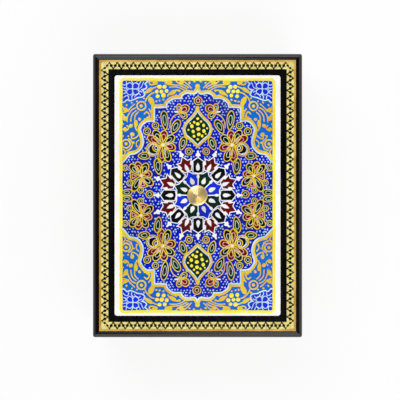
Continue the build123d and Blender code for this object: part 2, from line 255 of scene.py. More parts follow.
# %% Groups: cloudy colour, fine grain, turned rings
def make_cloud_group():
    """Two shades mixed by noise, with the same noise as a value for roughness or bump."""
    group, given, out = node_group(
        "cloudy_colour",
        {"Vector": Vector(), "Shade A": (1.0, 1.0, 1.0, 1.0), "Shade B": (0.0, 0.0, 0.0, 1.0), "Scale": 60.0},
        {"Colour": tuple, "Value": float},
    )
    value = ramp(group, noise_value(group, given["Vector"], given["Scale"]), 0.35, 0.65)
    connect(group, out, Colour=mix_colours(group, value, given["Shade A"], given["Shade B"]), Value=value)
    return group


def make_grain_group():
    """Wood grain as a value: noise drawn out along one axis, fine pores over broad bands."""
    group, given, out = node_group(
        "wood_grain", {"Vector": Vector(), "Stretch": 14.0, "Scale": 120.0}, {"Value": float}
    )
    x, y, z = add_node(group, "ShaderNodeSeparateXYZ", given["Vector"]).outputs
    long = math_node(group, "DIVIDE", x, given["Stretch"])
    drawn_out = add_node(group, "ShaderNodeCombineXYZ", long, y, z).outputs[0]
    bands = noise_value(group, drawn_out, given["Scale"], detail=3.0)
    fine = math_node(group, "MULTIPLY", given["Scale"], 7.0)
    pores = noise_value(group, drawn_out, fine, detail=6.0, roughness=0.7)
    both = math_node(group, "ADD", bands, math_node(group, "MULTIPLY", pores, 0.5))
    connect(group, out, Value=ramp(group, both, 0.45, 1.05))
    return group


def make_rings_group():
    """Rings left by a lathe, round the Z axis: a height for bump."""
    group, given, out = node_group("turned_rings", {"Vector": Vector(), "Pitch": 0.0004}, {"Height": float})
    flat = add_node(group, "ShaderNodeVectorMath", given["Vector"], (1, 1, 0))
    flat.operation = "MULTIPLY"
    radius = add_node(group, "ShaderNodeVectorMath", flat.outputs[0])
    radius.operation = "LENGTH"
    turns = math_node(group, "DIVIDE", radius.outputs["Value"], given["Pitch"])
    wave = math_node(group, "SINE", math_node(group, "MULTIPLY", turns, 2 * math.pi))
    slow = math_node(group, "SINE", math_node(group, "MULTIPLY", turns, 1.7))
    connect(group, out, Height=math_node(group, "ADD", wave, math_node(group, "MULTIPLY", slow, 1.5)))
    return group


CLOUD = make_cloud_group()
GRAIN = make_grain_group()
RINGS = make_rings_group()
print("groups", [g.name for g in (CLOUD, GRAIN, RINGS)])

# %% [markdown]
# ## Finishes
# Each finish is one function that wires groups into a Principled BSDF. Numbers that are the same all over a
# surface, such as coat and sheen, are set on the shader itself.

# %% Finish helpers
def rgb(red, green, blue):
    """A colour picked as it looks on screen, from 0 to 255, turned into the linear values nodes use."""
    shares = (v / 255 for v in (red, green, blue))
    return tuple(((v + 0.055) / 1.055) ** 2.4 if v > 10 / 255 else v / 12.92 for v in shares) + (1.0,)


def principled(name, **values):
    """A material with a Principled BSDF, and its tree, shader and object-space coordinates."""
    made, tree, out = blank_material(name)
    bsdf = add_node(tree, "ShaderNodeBsdfPrincipled", **values)
    connect(tree, out, Surface=bsdf.outputs[0])
    return made, tree, bsdf, tree.nodes.new("ShaderNodeTexCoord").outputs["Object"]


def add_bump(tree, bsdf, height, strength, distance):
    """Feed a height through a Bump node into the shader's normal."""
    bump = add_node(tree, "ShaderNodeBump", Strength=strength, Distance=distance, Height=height)
    connect(tree, bsdf, Normal=bump.outputs[0])


def clouded(name, shade_a, shade_b, scale, **values):
    """A Principled material and the sockets of its cloud: material, tree, shader, place, cloud."""
    made, tree, bsdf, place = principled(name, **values)
    cloud = use_group(tree, CLOUD, place, Shade_A=shade_a, Shade_B=shade_b, Scale=scale)
    return made, tree, bsdf, place, cloud.outputs


def polished(name, shade_a, shade_b, scale, roughness, uneven, **values):
    """A hard surface whose colour and gloss both follow the cloud."""
    made, tree, bsdf, place, cloud = clouded(name, shade_a, shade_b, scale, Roughness=roughness, **values)
    gloss = ramp(tree, cloud["Value"], 0.0, 1.0, roughness, roughness + uneven)
    connect(tree, bsdf, Base_Color=cloud["Colour"], Roughness=gloss)
    return made, tree, bsdf, place


def varied(tree, bsdf, level, colour):
    """The colour made lighter or darker by a level, as the shader's colour."""
    shaded = add_node(tree, "ShaderNodeHueSaturation", Value=level, Color=colour)
    connect(tree, bsdf, Base_Color=shaded.outputs[0])


# %% Wood, lacquer and marquetry finishes
def grained(name, stretch, scale, shades, strength, distance, **values):
    """Wood whose two shades and bump follow the grain: material, tree, shader and grain."""
    made, tree, bsdf, place = principled(name, **values)
    grain = use_group(tree, GRAIN, place, Stretch=stretch, Scale=scale).outputs[0]
    connect(tree, bsdf, Base_Color=mix_colours(tree, grain, *shades))
    add_bump(tree, bsdf, grain, strength, distance)
    return made, tree, bsdf, grain


def lacquer():
    """Ebonised wood under clear lacquer: nearly black, the grain only just there."""
    coat = {"IOR": 1.3, "Coat_Weight": 0.4, "Coat_IOR": 1.3, "Coat_Roughness": 0.08}
    shades = rgb(2, 2, 2), rgb(12, 8, 6)
    made, tree, bsdf, grain = grained("black_lacquer", 18.0, 260.0, shades, 0.12, 0.00015, **coat)
    connect(tree, bsdf, Roughness=ramp(tree, grain, 0.0, 1.0, 0.2, 0.32))
    return made


def bare_wood():
    """Plain planed wood for the boards that lacquer and cloth cover."""
    shades = rgb(176, 132, 84), rgb(128, 86, 50)
    return grained("planed_wood", 16.0, 90.0, shades, 0.25, 0.0003, Roughness=0.65)[0]


def inlay(name, shade_a, shade_b, scale, per_piece, roughness=0.32):
    """A lacquered-over inlay whose pieces differ a little from one to the next."""
    made, tree, bsdf, _, cloud = clouded(name, shade_a, shade_b, scale, Roughness=roughness, Coat_Weight=0.4)
    piece = tree.nodes.new("ShaderNodeNewGeometry").outputs["Random Per Island"]
    varied(tree, bsdf, ramp(tree, piece, 0.0, 1.0, 1.0 - per_piece, 1.0), cloud["Colour"])
    add_bump(tree, bsdf, cloud["Value"], 0.1, 0.0001)
    return made


LACQUER = lacquer()
BARE_WOOD = bare_wood()
BONE = inlay("bone_inlay", rgb(250, 242, 168), rgb(224, 204, 92), 420.0, 0.22)
EBONY = inlay("ebony_inlay", rgb(12, 8, 12), rgb(30, 20, 20), 500.0, 0.3)
GOLDEN = inlay("gold_filet", rgb(222, 182, 88), rgb(184, 134, 42), 90.0, 0.1, roughness=0.4)

# %% Metal, cloth and enamel finishes
def brass(name, shade_a, shade_b, roughness=0.27):
    """Polished brass, slightly uneven, with lathe rings round the Z axis."""
    given = {"Metallic": 1.0, "Anisotropic": 0.5}
    made, tree, bsdf, place = polished(name, shade_a, shade_b, 180.0, roughness, 0.12, **given)
    round_z = tree.nodes.new("ShaderNodeTangent")
    round_z.direction_type, round_z.axis = "RADIAL", "Z"
    connect(tree, bsdf, Tangent=round_z.outputs[0])
    add_bump(tree, bsdf, use_group(tree, RINGS, place, Pitch=0.00045).outputs[0], 0.35, 0.00004)
    return made


def plain_metal(name, shade_a, shade_b, roughness):
    """Drawn or pressed metal with fine handling marks."""
    return polished(name, shade_a, shade_b, 350.0, roughness, 0.15, Metallic=1.0)[0]


def pile(name, shade_a, shade_b, sheen, tint, fibre):
    """Velvet or felt: a matt colour with sheen, brushed patches and a fibre bump."""
    soft = {"Roughness": 0.9, "Sheen_Weight": sheen, "Sheen_Roughness": 0.35, "Sheen_Tint": tint}
    made, tree, bsdf, place, brushed = clouded(name, shade_a, shade_b, 28.0, Specular_IOR_Level=0.15, **soft)
    fine = noise_value(tree, place, fibre, detail=2.0)
    varied(tree, bsdf, ramp(tree, fine, 0.3, 0.7, 0.75, 1.15), brushed["Colour"])
    add_bump(tree, bsdf, fine, 0.5, 0.0004)
    return made


def enamel(name, shade_a, shade_b, scale):
    """Fired enamel: glassy, its colour a little deeper in places."""
    glaze = {"Coat_Weight": 0.25, "Coat_Roughness": 0.08, "Specular_IOR_Level": 0.35}
    return polished(name, shade_a, shade_b, scale, 0.2, 0.1, **glaze)[0]


BRASS = brass("turned_brass", (0.98, 0.82, 0.42, 1), (0.90, 0.64, 0.22, 1))
HINGE_BRASS = plain_metal("hinge_brass", (0.78, 0.56, 0.24, 1), (0.62, 0.41, 0.15, 1), 0.32)
STEEL = plain_metal("steel", (0.62, 0.62, 0.63, 1), (0.45, 0.45, 0.46, 1), 0.35)
VELVET = pile("velvet", rgb(122, 8, 24), rgb(92, 4, 16), 0.7, (0.9, 0.25, 0.3, 1), 1800.0)
FELT = pile("felt", rgb(24, 60, 42), rgb(16, 46, 32), 0.15, (0.5, 0.6, 0.5, 1), 1300.0)
WHITE_ENAMEL = enamel("white_enamel", rgb(255, 253, 246), rgb(244, 241, 232), 45.0)

# %% Give the finishes to the frame
def finish(material, *names):
    """Put one material on whole nodes."""
    for name in names:
        nodes[name].data.materials.clear()
        nodes[name].data.materials.append(material)


def each_side(*prefixes):
    """Node names of the pieces that go round the box."""
    return [f"{prefix}_{side}" for prefix in prefixes for side in SIDES]


def add_piece(name, vertices, faces, material, body, slot, replaced=(), smooth=True):
    """A new mesh piece in its place, with its finish, its body and the CAD nodes it stands for."""
    mesh = bpy.data.meshes.new(name)
    mesh.from_pydata(vertices, [], faces)
    mesh.polygons.foreach_set("use_smooth", [smooth] * len(faces))
    mesh.materials.append(material)
    mesh.update()
    piece = linked(name, mesh)
    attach(piece, body)
    if replaced:
        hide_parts(*replaced)
    print(name, len(faces), "faces")
    return piece


def face_rows(first, second, count):
    """Faces between two closed rows of points, each given by the number of its first point."""
    turns = [(i, (i + 1) % count) for i in range(count)]
    return [(first + i, first + j, second + j, second + i) for i, j in turns]


finish(LACQUER, "lid_board", *each_side("wall", "lid_rail"))
finish(BARE_WOOD, "bottom_board", "plate_bed")
finish(BONE, *each_side("marquetry"))
finish(EBONY, *each_side("marquetry_dark"))
finish(GOLDEN, *each_side("filet", "side_filets"))
finish(WHITE_ENAMEL, "enamel_plate")
finish(BRASS, "knob_collar")
finish(STEEL, "knob_screw", "knob_washer", "hinge_pin_left", "hinge_pin_right")
finish(HINGE_BRASS, *[f"hinge_{leaf}_leaf_{end}" for leaf in ("fixed", "moving") for end in ("left", "right")])

# %% [markdown]
# ## The painted plate
# The painter of such a plate fires a white ground, lays in the blue fields, fills the flowers and then
# raises the outlines as thick lines. Here every stroke is real mesh laid on the dome, one piece for each
# colour. An image would be quicker, but it would blur close up, and its lines wouldn't catch the light.
# The drawing is in millimetres from the plate's middle, a across it and b along it. It is the same in its
# four quarters, so most of it is drawn once and mirrored, and a slow drift of the hand makes them differ.

# %% Laying a drawing on the dome
plate_low, plate_high = (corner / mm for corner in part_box("enamel_plate"))
FLANGE = 2.6  # flat rim round the dome
DOME_RISE = 5.0
DOME_LENGTH = plate_high.x - plate_low.x - 2 * FLANGE
DOME_WIDTH = plate_high.y - plate_low.y - 2 * FLANGE
FLANGE_TOP = plate_high.z - DOME_RISE
HAND = 0.28  # how far the painter's hand drifts
noise.seed_set(11)  # noise vectors start from the clock otherwise
QUARTERS = ((1, 1), (-1, 1), (1, -1), (-1, -1))
# heights of the coats above the plate, in the order in which they are painted
GROUND, FIELD, BED, MOTIF, DETAIL, LINE = 0.03, 0.05, 0.07, 0.09, 0.12, 0.11


def drape(a, b, lift):
    """A point of the drawing, that many millimetres above the domed plate."""
    u = min(max(b / DOME_LENGTH + 0.5, 0), 1)
    v = min(max(a / DOME_WIDTH + 0.5, 0), 1)
    height = FLANGE_TOP + 16 * DOME_RISE * u * (1 - u) * v * (1 - v)
    return b * mm, -a * mm, (height + lift) * mm


def drift(point):
    """The point as the painter's hand puts it."""
    stray = noise.noise_vector(Vector((point[0] / 6, point[1] / 6, 2.7)))
    return point[0] + HAND * stray.x, point[1] + HAND * stray.y


print("dome", round(DOME_LENGTH, 1), "by", round(DOME_WIDTH, 1), "mm, rim at", round(FLANGE_TOP, 2))

# %% [markdown]
# ### Paths
# Outlines are lists of points. A smooth line through a few chosen points is enough for stems and lobes, and
# lobes that meet in a sharp point are separate lines joined end to end.

# %% Paths
def through(*points, step=0.9, closed=False):
    """A smooth line through the points, cut into steps."""
    count, path = len(points), []
    for i in range(count if closed else count - 1):
        around = range(i - 1, i + 3)
        near = [k % count if closed else min(max(k, 0), count - 1) for k in around]
        p, q, r, s = (Vector(points[k]) for k in near)
        pieces = max(1, round((r - q).length / step))
        for j in range(pieces):
            t = j / pieces
            bend = (2 * p - 5 * q + 4 * r - s) * t * t + (3 * q - p - 3 * r + s) * t**3
            path.append(tuple((2 * q + (r - p) * t + bend) / 2))
    return path if closed else path + [tuple(points[-1])]


def joined(*paths):
    """Paths end to end, without the shared points."""
    whole = list(paths[0])
    for path in paths[1:]:
        whole += path[1:]
    return whole


def spot(quarter, point):
    """The point in another quarter of the plate."""
    return quarter[0] * point[0], quarter[1] * point[1]


def mirrored(quarter, path):
    """The path in another quarter of the plate."""
    return [spot(quarter, point) for point in path]


def placed(outline, middle, angle):
    """An outline drawn as (outward, sideways), turned to an angle and moved to its middle."""
    turn = math.radians(angle)
    c, s = math.cos(turn), math.sin(turn)
    return [(middle[0] + c * r - s * t, middle[1] + s * r + c * t) for r, t in outline]


def beside(path, distance, closed=False):
    """The path moved sideways to its left, with its corners kept."""
    moved, count = [], len(path)
    for i in range(count):
        here = Vector(path[i])
        back = here - Vector(path[i - 1]) if closed or i else Vector(path[1]) - here
        ahead = Vector(path[(i + 1) % count]) - here if closed or i < count - 1 else back
        back, ahead = back.normalized(), ahead.normalized()
        middle = (back + ahead).normalized() if (back + ahead).length > 0.01 else back
        reach = distance / max(0.45, middle.dot(back))
        moved.append((here.x - middle.y * reach, here.y + middle.x * reach))
    return moved


def signed_area(outline):
    """Twice the area inside an outline, above zero where the outline runs anticlockwise."""
    return sum(p[0] * q[1] - q[0] * p[1] for p, q in zip(outline, outline[1:] + outline[:1]))


def grown(outline, distance):
    """A closed outline made larger all round, or smaller for a negative distance."""
    return beside(outline, -distance if signed_area(outline) > 0 else distance, closed=True)


def shrunk(outline, share):
    """An outline scaled about its own middle."""
    a = sum(p[0] for p in outline) / len(outline)
    b = sum(p[1] for p in outline) / len(outline)
    return [(a + (p[0] - a) * share, b + (p[1] - b) * share) for p in outline]


def ring(middle, radius, count=14):
    """A circle."""
    turns = [2 * math.pi * i / count for i in range(count)]
    return [(middle[0] + radius * math.cos(t), middle[1] + radius * math.sin(t)) for t in turns]


def teardrop(middle, angle, length, width, pointed=1.0, count=20):
    """A teardrop whose point is at its middle point and whose round end lies along the angle."""
    outline = []
    for i in range(count):
        phase = 2 * math.pi * i / count
        half = math.sin(phase) * abs(math.sin(phase / 2)) ** pointed
        outline.append((length * (1 - math.cos(phase)) / 2, width / 1.54 * half))
    return placed(outline, middle, angle)


# %% [markdown]
# ### Brushes
# Three brushes make everything: a flat fill, a raised line and a raised dot. They collect vertices and faces
# for each paint, because a thousand small objects would be slow to handle. Each remembers where it painted,
# so that the white specks can be scattered between the motifs later.

# %% Brushes
strokes = {}  # paint name: (vertices, faces)
painted = []  # points that the specks keep clear of
scatter = random.Random(11)


def ink(paint, vertices, faces):
    """Add a piece of mesh to a paint."""
    kept, polygons = strokes.setdefault(paint, ([], []))
    start = len(kept)
    kept.extend(vertices)
    polygons.extend(tuple(start + i for i in face) for face in faces)


def inside(point, outline):
    """Whether a point lies inside an outline."""
    x, y = point
    crossings = 0
    for (x1, y1), (x2, y2) in zip(outline, outline[1:] + outline[:1]):
        if (y1 > y) != (y2 > y) and x < x1 + (y - y1) * (x2 - x1) / (y2 - y1):
            crossings += 1
    return crossings % 2 == 1


def grid_inside(outline, cell, clear):
    """Points of a square grid inside an outline and clear of its edge."""
    lows = [min(p[k] for p in outline) for k in (0, 1)]
    highs = [max(p[k] for p in outline) for k in (0, 1)]
    found = []
    for i in range(int((highs[0] - lows[0]) / cell) + 1):
        for j in range(int((highs[1] - lows[1]) / cell) + 1):
            point = (lows[0] + (i + 0.5) * cell, lows[1] + (j + 0.5) * cell)
            if inside(point, outline) and min(math.dist(point, p) for p in outline) > clear:
                found.append(point)
    return found


def fill(outline, paint, lift, cell=2.5, mark=True):
    """A coat of paint inside an outline, with points inside so that it follows the dome."""
    edge = [drift(p) for p in outline]
    inner = [drift(p) for p in grid_inside(outline, cell, 0.3 * cell)]
    points = [Vector(p) for p in edge + inner]
    corners, _, faces, *_ = delaunay_2d_cdt(points, [], [list(range(len(edge)))], 1, 1e-5)
    ink(paint, [drape(c.x, c.y, lift) for c in corners], faces)
    if mark:
        painted.extend(edge + [drift(p) for p in grid_inside(outline, 1.2, 0)])


def line(path, width, paint, lift=LINE, closed=False, relief=0.13, mark=True):
    """A raised line along a path, rounded across and at its ends, its width a little uneven."""
    path = [drift(p) for p in path]
    thick = [width / 2 * (1 + 0.22 * noise.noise(Vector((p[0] / 2.5, p[1] / 2.5, 9.1)))) for p in path]
    sides = [beside(path, sign, closed) for sign in (-1, 1)]
    vertices = []
    for (a, b), half, right, left in zip(path, thick, *sides):
        for mate, share, raised in ((right, 1, 0), (right, 0, 1), (left, 1, 0)):
            point = (a + (mate[0] - a) * half * share, b + (mate[1] - b) * half * share)
            vertices.append(drape(*point, lift + raised * relief * min(1, half / 0.4)))
    faces, count = [], len(path)
    for i in range(count if closed else count - 1):
        near, far = 3 * i, 3 * ((i + 1) % count)
        faces += [(near + k, far + k, far + k + 1, near + k + 1) for k in (0, 1)]
    if not closed:
        for end, inner, order in ((0, 1, 1), (count - 1, count - 2, -1)):
            out = (Vector(path[end]) - Vector(path[inner])).normalized() * thick[end] * 0.9
            tip = len(vertices)
            vertices.append(drape(path[end][0] + out.x, path[end][1] + out.y, lift))
            r, m, l = 3 * end, 3 * end + 1, 3 * end + 2
            faces += [(tip, r, m), (tip, m, l)] if order > 0 else [(r, tip, m), (m, tip, l)]
    ink(paint, vertices, faces)
    if mark:
        painted.extend(path)


def dot(middle, radius, paint, lift=LINE, relief=0.16, stretch=1.0, angle=0.0, count=10, mark=True):
    """A raised round or oval dot."""
    centre = drift(middle)
    vertices = [drape(*centre, lift + relief)]
    for share, raised in ((0.62, 0.75), (1.0, 0.0)):
        oval = [(r * stretch, t) for r, t in ring((0, 0), radius * share, count)]
        vertices += [drape(*p, lift + raised * relief) for p in placed(oval, centre, angle)]
    faces = [(0, 1 + i, 1 + (i + 1) % count) for i in range(count)]
    for i in range(count):
        j = (i + 1) % count
        faces.append((1 + i, 1 + count + i, 1 + count + j, 1 + j))
    ink(paint, vertices, faces)
    if mark:
        painted.append(centre)


# %% [markdown]
# ### Fields
# The layout is the old one of carpets and enamels: a lobed medallion in cobalt, a lighter blue round it, and
# a quarter-rosette in each corner, inside one bright yellow line.

# %% Medallion, fields and border
BORDER = (58.4, 88.8)  # the yellow line's middle

medallion_quarter = joined(
    through((0, 80.3), (1.2, 78.4), (3.0, 77.6)),
    through((3.0, 77.6), (8.4, 78.2), (11.6, 76.4), (12.5, 74.1)),
    through((12.5, 74.1), (18.5, 73.9), (22.8, 70.8), (24.0, 67.4)),
    through((24.0, 67.4), (32.9, 67.2)),
    through((32.9, 67.2), (33.0, 56.8)),
    through((33.0, 56.8), (39.3, 56.2), (43.4, 51.0), (42.4, 46.5)),
    through((42.4, 46.5), (41.4, 41.2), (43.0, 36.0), (46.6, 32.6), (51.7, 31.5)),
    through((51.7, 31.5), (53.8, 29.1), (56.2, 26.2), (58.1, 24.7)),
)
corner_outline = joined(
    through((37.2, 88.5), (38.9, 86.6), (40.2, 85.5)),
    through((40.2, 85.5), (38.8, 83.0), (40.2, 81.4), (42.5, 80.8)),
    through((42.5, 80.8), (40.3, 78.2), (40.8, 76.4), (42.0, 75.4)),
    through((42.0, 75.4), (45.9, 74.7)),
    through((45.9, 74.7), (48.8, 73.3), (51.7, 72.5)),
    through((51.7, 72.5), (54.0, 73.3), (56.2, 71.2), (58.0, 71.7)),
)


def rounded_frame(half_a, half_b, radius):
    """A rectangle with rounded corners, with points all the way round."""
    corners = []
    for k, (sign_a, sign_b) in enumerate(((1, 1), (-1, 1), (-1, -1), (1, -1))):
        middle = (sign_a * (half_a - radius), sign_b * (half_b - radius))
        for i in range(5):
            turn = math.radians(90 * k + 22.5 * i)
            corners.append((middle[0] + radius * math.cos(turn), middle[1] + radius * math.sin(turn)))
    path = []
    for start, end in zip(corners, corners[1:] + corners[:1]):
        pieces = max(1, round(math.dist(start, end) / 2.0))
        path += [tuple(Vector(start).lerp(Vector(end), i / pieces)) for i in range(pieces)]
    return path


half_top = joined(mirrored((-1, 1), medallion_quarter[::-1]), medallion_quarter)
half_bottom = mirrored((1, -1), half_top)
medallion = half_top + half_bottom[::-1]

fill(rounded_frame(*BORDER, 3.0), "azure", GROUND, cell=5.0, mark=False)
fill(medallion, "cobalt", FIELD, cell=5.0, mark=False)
for half, side in ((half_top, 1), (half_bottom, -1)):
    line(half, 1.15, "pale")
    line(beside(half, 1.45 * side), 1.8, "gold", lift=DETAIL)
for quarter in QUARTERS:
    edge = mirrored(quarter, corner_outline)
    fill(edge + [spot(quarter, BORDER)], "royal", FIELD, cell=4.0, mark=False)
    line(edge, 0.95, "pale")
line(rounded_frame(*BORDER, 2.6), 2.1, "yellow", lift=DETAIL, closed=True, relief=0.2)
for end in (1, -1):
    dot((0, 83.4 * end), 1.9, "gold", relief=0.3)
    line([(0, 81.8 * end), (0, 83.0 * end)], 1.4, "gold")
print("medallion", len(medallion), "points")

# %% [markdown]
# ### Flowers, leaves and buds
# Every petal is painted in the same way: a gold outline, a dark fill, and a thin white loop inside. The gold
# of neighbouring petals runs together round the heart of the flower, so a gold bed lies under them.

# %% Petals, leaves, buds
def petal(outline, paint, loop="white", share=0.56, width=0.45):
    """A filled petal or leaf with its gold outline and its white inner loop."""
    line(grown(outline, 0.3), 0.75, "gold", closed=True)
    fill(outline, paint, MOTIF, cell=3.0)
    line(shrunk(outline, share), width, loop, lift=DETAIL, closed=True, relief=0.08)


def wedge(middle, angle, length, width):
    """A three-cornered petal with its point at the middle."""
    half = width / 2
    corners = [(1.0, 0), (length * 0.9, -half), (length * 0.97, 0), (length * 0.9, half)]
    return placed(corners, middle, angle)


def bud(middle, radius, paint="black"):
    """A ringed bud."""
    line(ring(middle, radius + 0.1), 0.7, "gold", closed=True)
    fill(ring(middle, radius - 0.2), paint, MOTIF, cell=3.0)
    line(ring(middle, radius * 0.5, 10), 0.4, "sage", lift=DETAIL, closed=True, relief=0.08)


def heart_of_flower(middle, radius):
    """The small white star and gold dot where the petals meet."""
    for angle in range(0, 360, 60):
        line(placed([(0.3, 0), (radius, 0)], middle, angle + 12), 0.6, "white", lift=DETAIL + 0.05)
    dot(middle, radius * 0.7, "white", lift=DETAIL + 0.05)
    dot(middle, radius * 0.35, "gold", lift=DETAIL + 0.16, relief=0.08)


# %% The three kinds of flower
GREAT_FLOWER = (26.3, 38.5)
SIDE_FLOWER = (43.0, 15.2)
SMALL_FLOWER = (13.8, 63.4)
# angle, length, paint; the small flower's petals also have a width
GREAT_PETALS = (
    (95, 10.0, "crimson"), (140, 9.8, "black"), (196, 8.8, "crimson"), (249, 12.0, "black"),
    (277, 12.0, "crimson"), (29, 12.0, "crimson"), (58, 11.8, "black"),
)
SIDE_PETALS = (
    (74, 9.9, "crimson"), (44, 10.9, "black"), (116, 9.4, "black"), (169, 7.6, "crimson"),
    (218, 10.4, "black"), (298, 12.4, "black"),
)
SIDE_WEDGES = ((260, 9.4), (-5, 8.3))
SMALL_PETALS = ((87, 6.2, 3.0, "black"), (147, 8.2, 5.2, "crimson"), (215, 6.4, 3.4, "black"))
LOBE, LOBE_HEART = (34.2, 35.2), (31.6, 36.3)


def petals(quarter, middle, table):
    """Teardrop petals round a middle. The loop in a crimson one is pinkish, in a dark one greenish."""
    for angle, length, width, paint in table:
        shape = mirrored(quarter, teardrop(middle, angle, length, width, pointed=0.8))
        petal(shape, paint, "rose" if paint == "crimson" else "sage")


for quarter in QUARTERS:
    # the great flower, with one round lobe like a wave
    dot(spot(quarter, GREAT_FLOWER), 5.0, "gold", lift=BED, relief=0.01, count=16)
    petal(mirrored(quarter, ring(LOBE, 4.7, 20)), "black", share=0.84)
    wave = through((33.4, 31.6), (36.7, 33.0), (37.1, 36.6), (34.8, 38.9))
    line(mirrored(quarter, wave), 0.4, "white", lift=DETAIL)
    line(mirrored(quarter, ring(LOBE_HEART, 2.7)), 0.8, "gold", lift=DETAIL, closed=True)
    fill(mirrored(quarter, ring(LOBE_HEART, 2.4)), "black", DETAIL - 0.005, cell=3.0)
    line(mirrored(quarter, ring(LOBE_HEART, 1.3, 10)), 0.45, "white", lift=DETAIL + 0.02, closed=True)
    petals(quarter, GREAT_FLOWER, [(angle, 1.08 * length, 4.9, paint) for angle, length, paint in GREAT_PETALS])
    heart_of_flower(spot(quarter, GREAT_FLOWER), 1.2)
    # the flower at the side
    dot(spot(quarter, SIDE_FLOWER), 4.4, "gold", lift=BED, relief=0.01, count=16)
    for angle, length in SIDE_WEDGES:
        petal(mirrored(quarter, wedge(SIDE_FLOWER, angle, length, 6.4)), "crimson", "rose", 0.5, 0.5)
    petals(quarter, SIDE_FLOWER, [(angle, 1.06 * length, 4.5, paint) for angle, length, paint in SIDE_PETALS])
    heart_of_flower(spot(quarter, SIDE_FLOWER), 1.1)
    # the small three-petalled flower on its stem
    petals(quarter, SMALL_FLOWER, SMALL_PETALS)
    stem = through((14.2, 62.4), (17.9, 60.5), (20.4, 56.8), (21.0, 51.5))
    line(mirrored(quarter, stem), 0.8, "gold")
    line(mirrored(quarter, [(14.6, 63.6), (17.2, 63.9)]), 1.1, "white")

# %% Leaves and buds round the flowers
LEAVES = (
    # middle a, middle b, length, width, angle
    (25.1, 57.0, 13.0, 3.6, 83), (16.9, 52.3, 10.5, 3.8, 118), (11.3, 39.4, 9.0, 3.6, 108),
    (41.0, 30.3, 7.6, 3.8, 180), (30.0, 22.0, 11.0, 3.8, 83), (54.4, 2.4, 7.5, 3.2, 175),
)
BUDS = (
    (38.5, 49.0, 2.6, "black"), (32.1, 53.5, 2.4, "black"), (55.2, 21.2, 2.1, "black"),
    (43.5, 4.2, 2.2, "black"), (51.9, 9.7, 2.1, "black"), (6.5, 33.6, 2.5, "crimson"),
)

for quarter in QUARTERS:
    for a, b, length, width, angle in LEAVES:
        root = placed([(-length / 2, 0)], (a, b), angle)[0]
        shape = teardrop(root, angle, 1.06 * length, 1.14 * width, pointed=0.35)
        petal(mirrored(quarter, shape), "green", "sage")
    for a, b, radius, paint in BUDS:
        bud(spot(quarter, (a, b)), radius, paint)
for side in (1, -1):
    bud((36.4 * side, 1.0), 2.7)
    bud((0.5 * side, 72.3 * side), 2.9, "crimson")
for kept in ("gold", "black", "crimson"):
    print(kept, len(strokes[kept][1]), "faces")

# %% [markdown]
# ### Cartouches and the central rosette
# A pointed cartouche lies above and below the middle, filled with gold berries. The rosette is three rings
# of cells, split by white lines, each with a white drop inside it.

# %% Cartouches
cartouche_half = joined(
    through((0, 63.5), (1.8, 60.6), (4.6, 57.5)),
    through((4.6, 57.5), (7.3, 55.1), (9.3, 50.5), (8.0, 46.4)),
    through((8.0, 46.4), (4.2, 43.2), (0, 39.4)),
)
BERRIES = (
    (0, 58.6, 1.0), (2.6, 56.4, 0.8), (-2.4, 55.8, 0.9), (0.2, 54.6, 1.3), (4.6, 53.4, 1.1), (-4.4, 52.6, 1.3),
    (0.6, 50.6, 1.4), (-3.4, 48.8, 1.2), (4.8, 49.2, 1.3), (7.2, 51.2, 0.7), (-7.0, 50.0, 0.7), (1.0, 46.6, 1.3),
    (-2.8, 45.2, 1.0), (3.6, 45.4, 1.0), (0.2, 42.8, 0.9), (-5.6, 55.0, 0.6), (6.2, 47.0, 0.6),
)
for end in (1, -1):
    outline = mirrored((1, end), cartouche_half + mirrored((-1, 1), cartouche_half[::-1])[1:-1])
    fill(outline, "green", MOTIF)
    line(grown(outline, 0.35), 0.7, "pale", closed=True)
    line(grown(outline, 1.5), 1.5, "gold", lift=DETAIL, closed=True, relief=0.2)
    dot((0, 66.8 * end), 1.5, "gold", relief=0.25)
    for a, b, radius in BERRIES:
        dot((a * end, b * end), radius, "yellow", lift=DETAIL, stretch=1.15, angle=20 * a)

# %% Rosette
# half outlines as (outward, sideways); the other half mirrors them
HOUSE = ((28.4, 0), (25.9, 3.7), (17.8, 3.6), (16.9, 0))
TULIP = ((31.0, 0), (27.2, 2.5), (27.4, 5.2), (25.3, 3.9), (23.9, 3.2), (22.8, 4.1), (19.7, 2.3), (20.2, 0))
INNER = ((19.2, 0), (16.3, 2.3), (15.1, 5.3), (11.5, 4.3), (7.0, 2.5), (6.8, 0))
SPEAR = ((34.4, 0), (32.2, 0.7), (31.4, 1.5), (30.0, 2.1), (29.6, 0.9), (28.9, 0))
ARROW = ((27.0, 0), (25.4, 0.8), (24.2, 1.5), (24.4, 0.5), (23.0, 0))
CENTRE = (0.4, 0.2)


def whole(half):
    """A closed outline from its half."""
    return list(half) + [(r, -t) for r, t in reversed(half[1:-1])]


def cell(half, angle, paint, inner_end, outer_end, drop_width):
    """One cell of the rosette, with a white line round it and a white drop in it."""
    outline = placed(whole(half), CENTRE, angle)
    fill(outline, paint, MOTIF, cell=3.0)
    line(grown(outline, 0.35), 0.7, "white", closed=True)
    point = placed([(outer_end, 0)], CENTRE, angle)[0]
    drop = teardrop(point, angle + 180, outer_end - inner_end, drop_width, pointed=1.1)
    fill(drop, "white", DETAIL, cell=3.0)
    line(shrunk(drop, 0.7), 0.5, "white", lift=DETAIL, closed=True, relief=0.14)


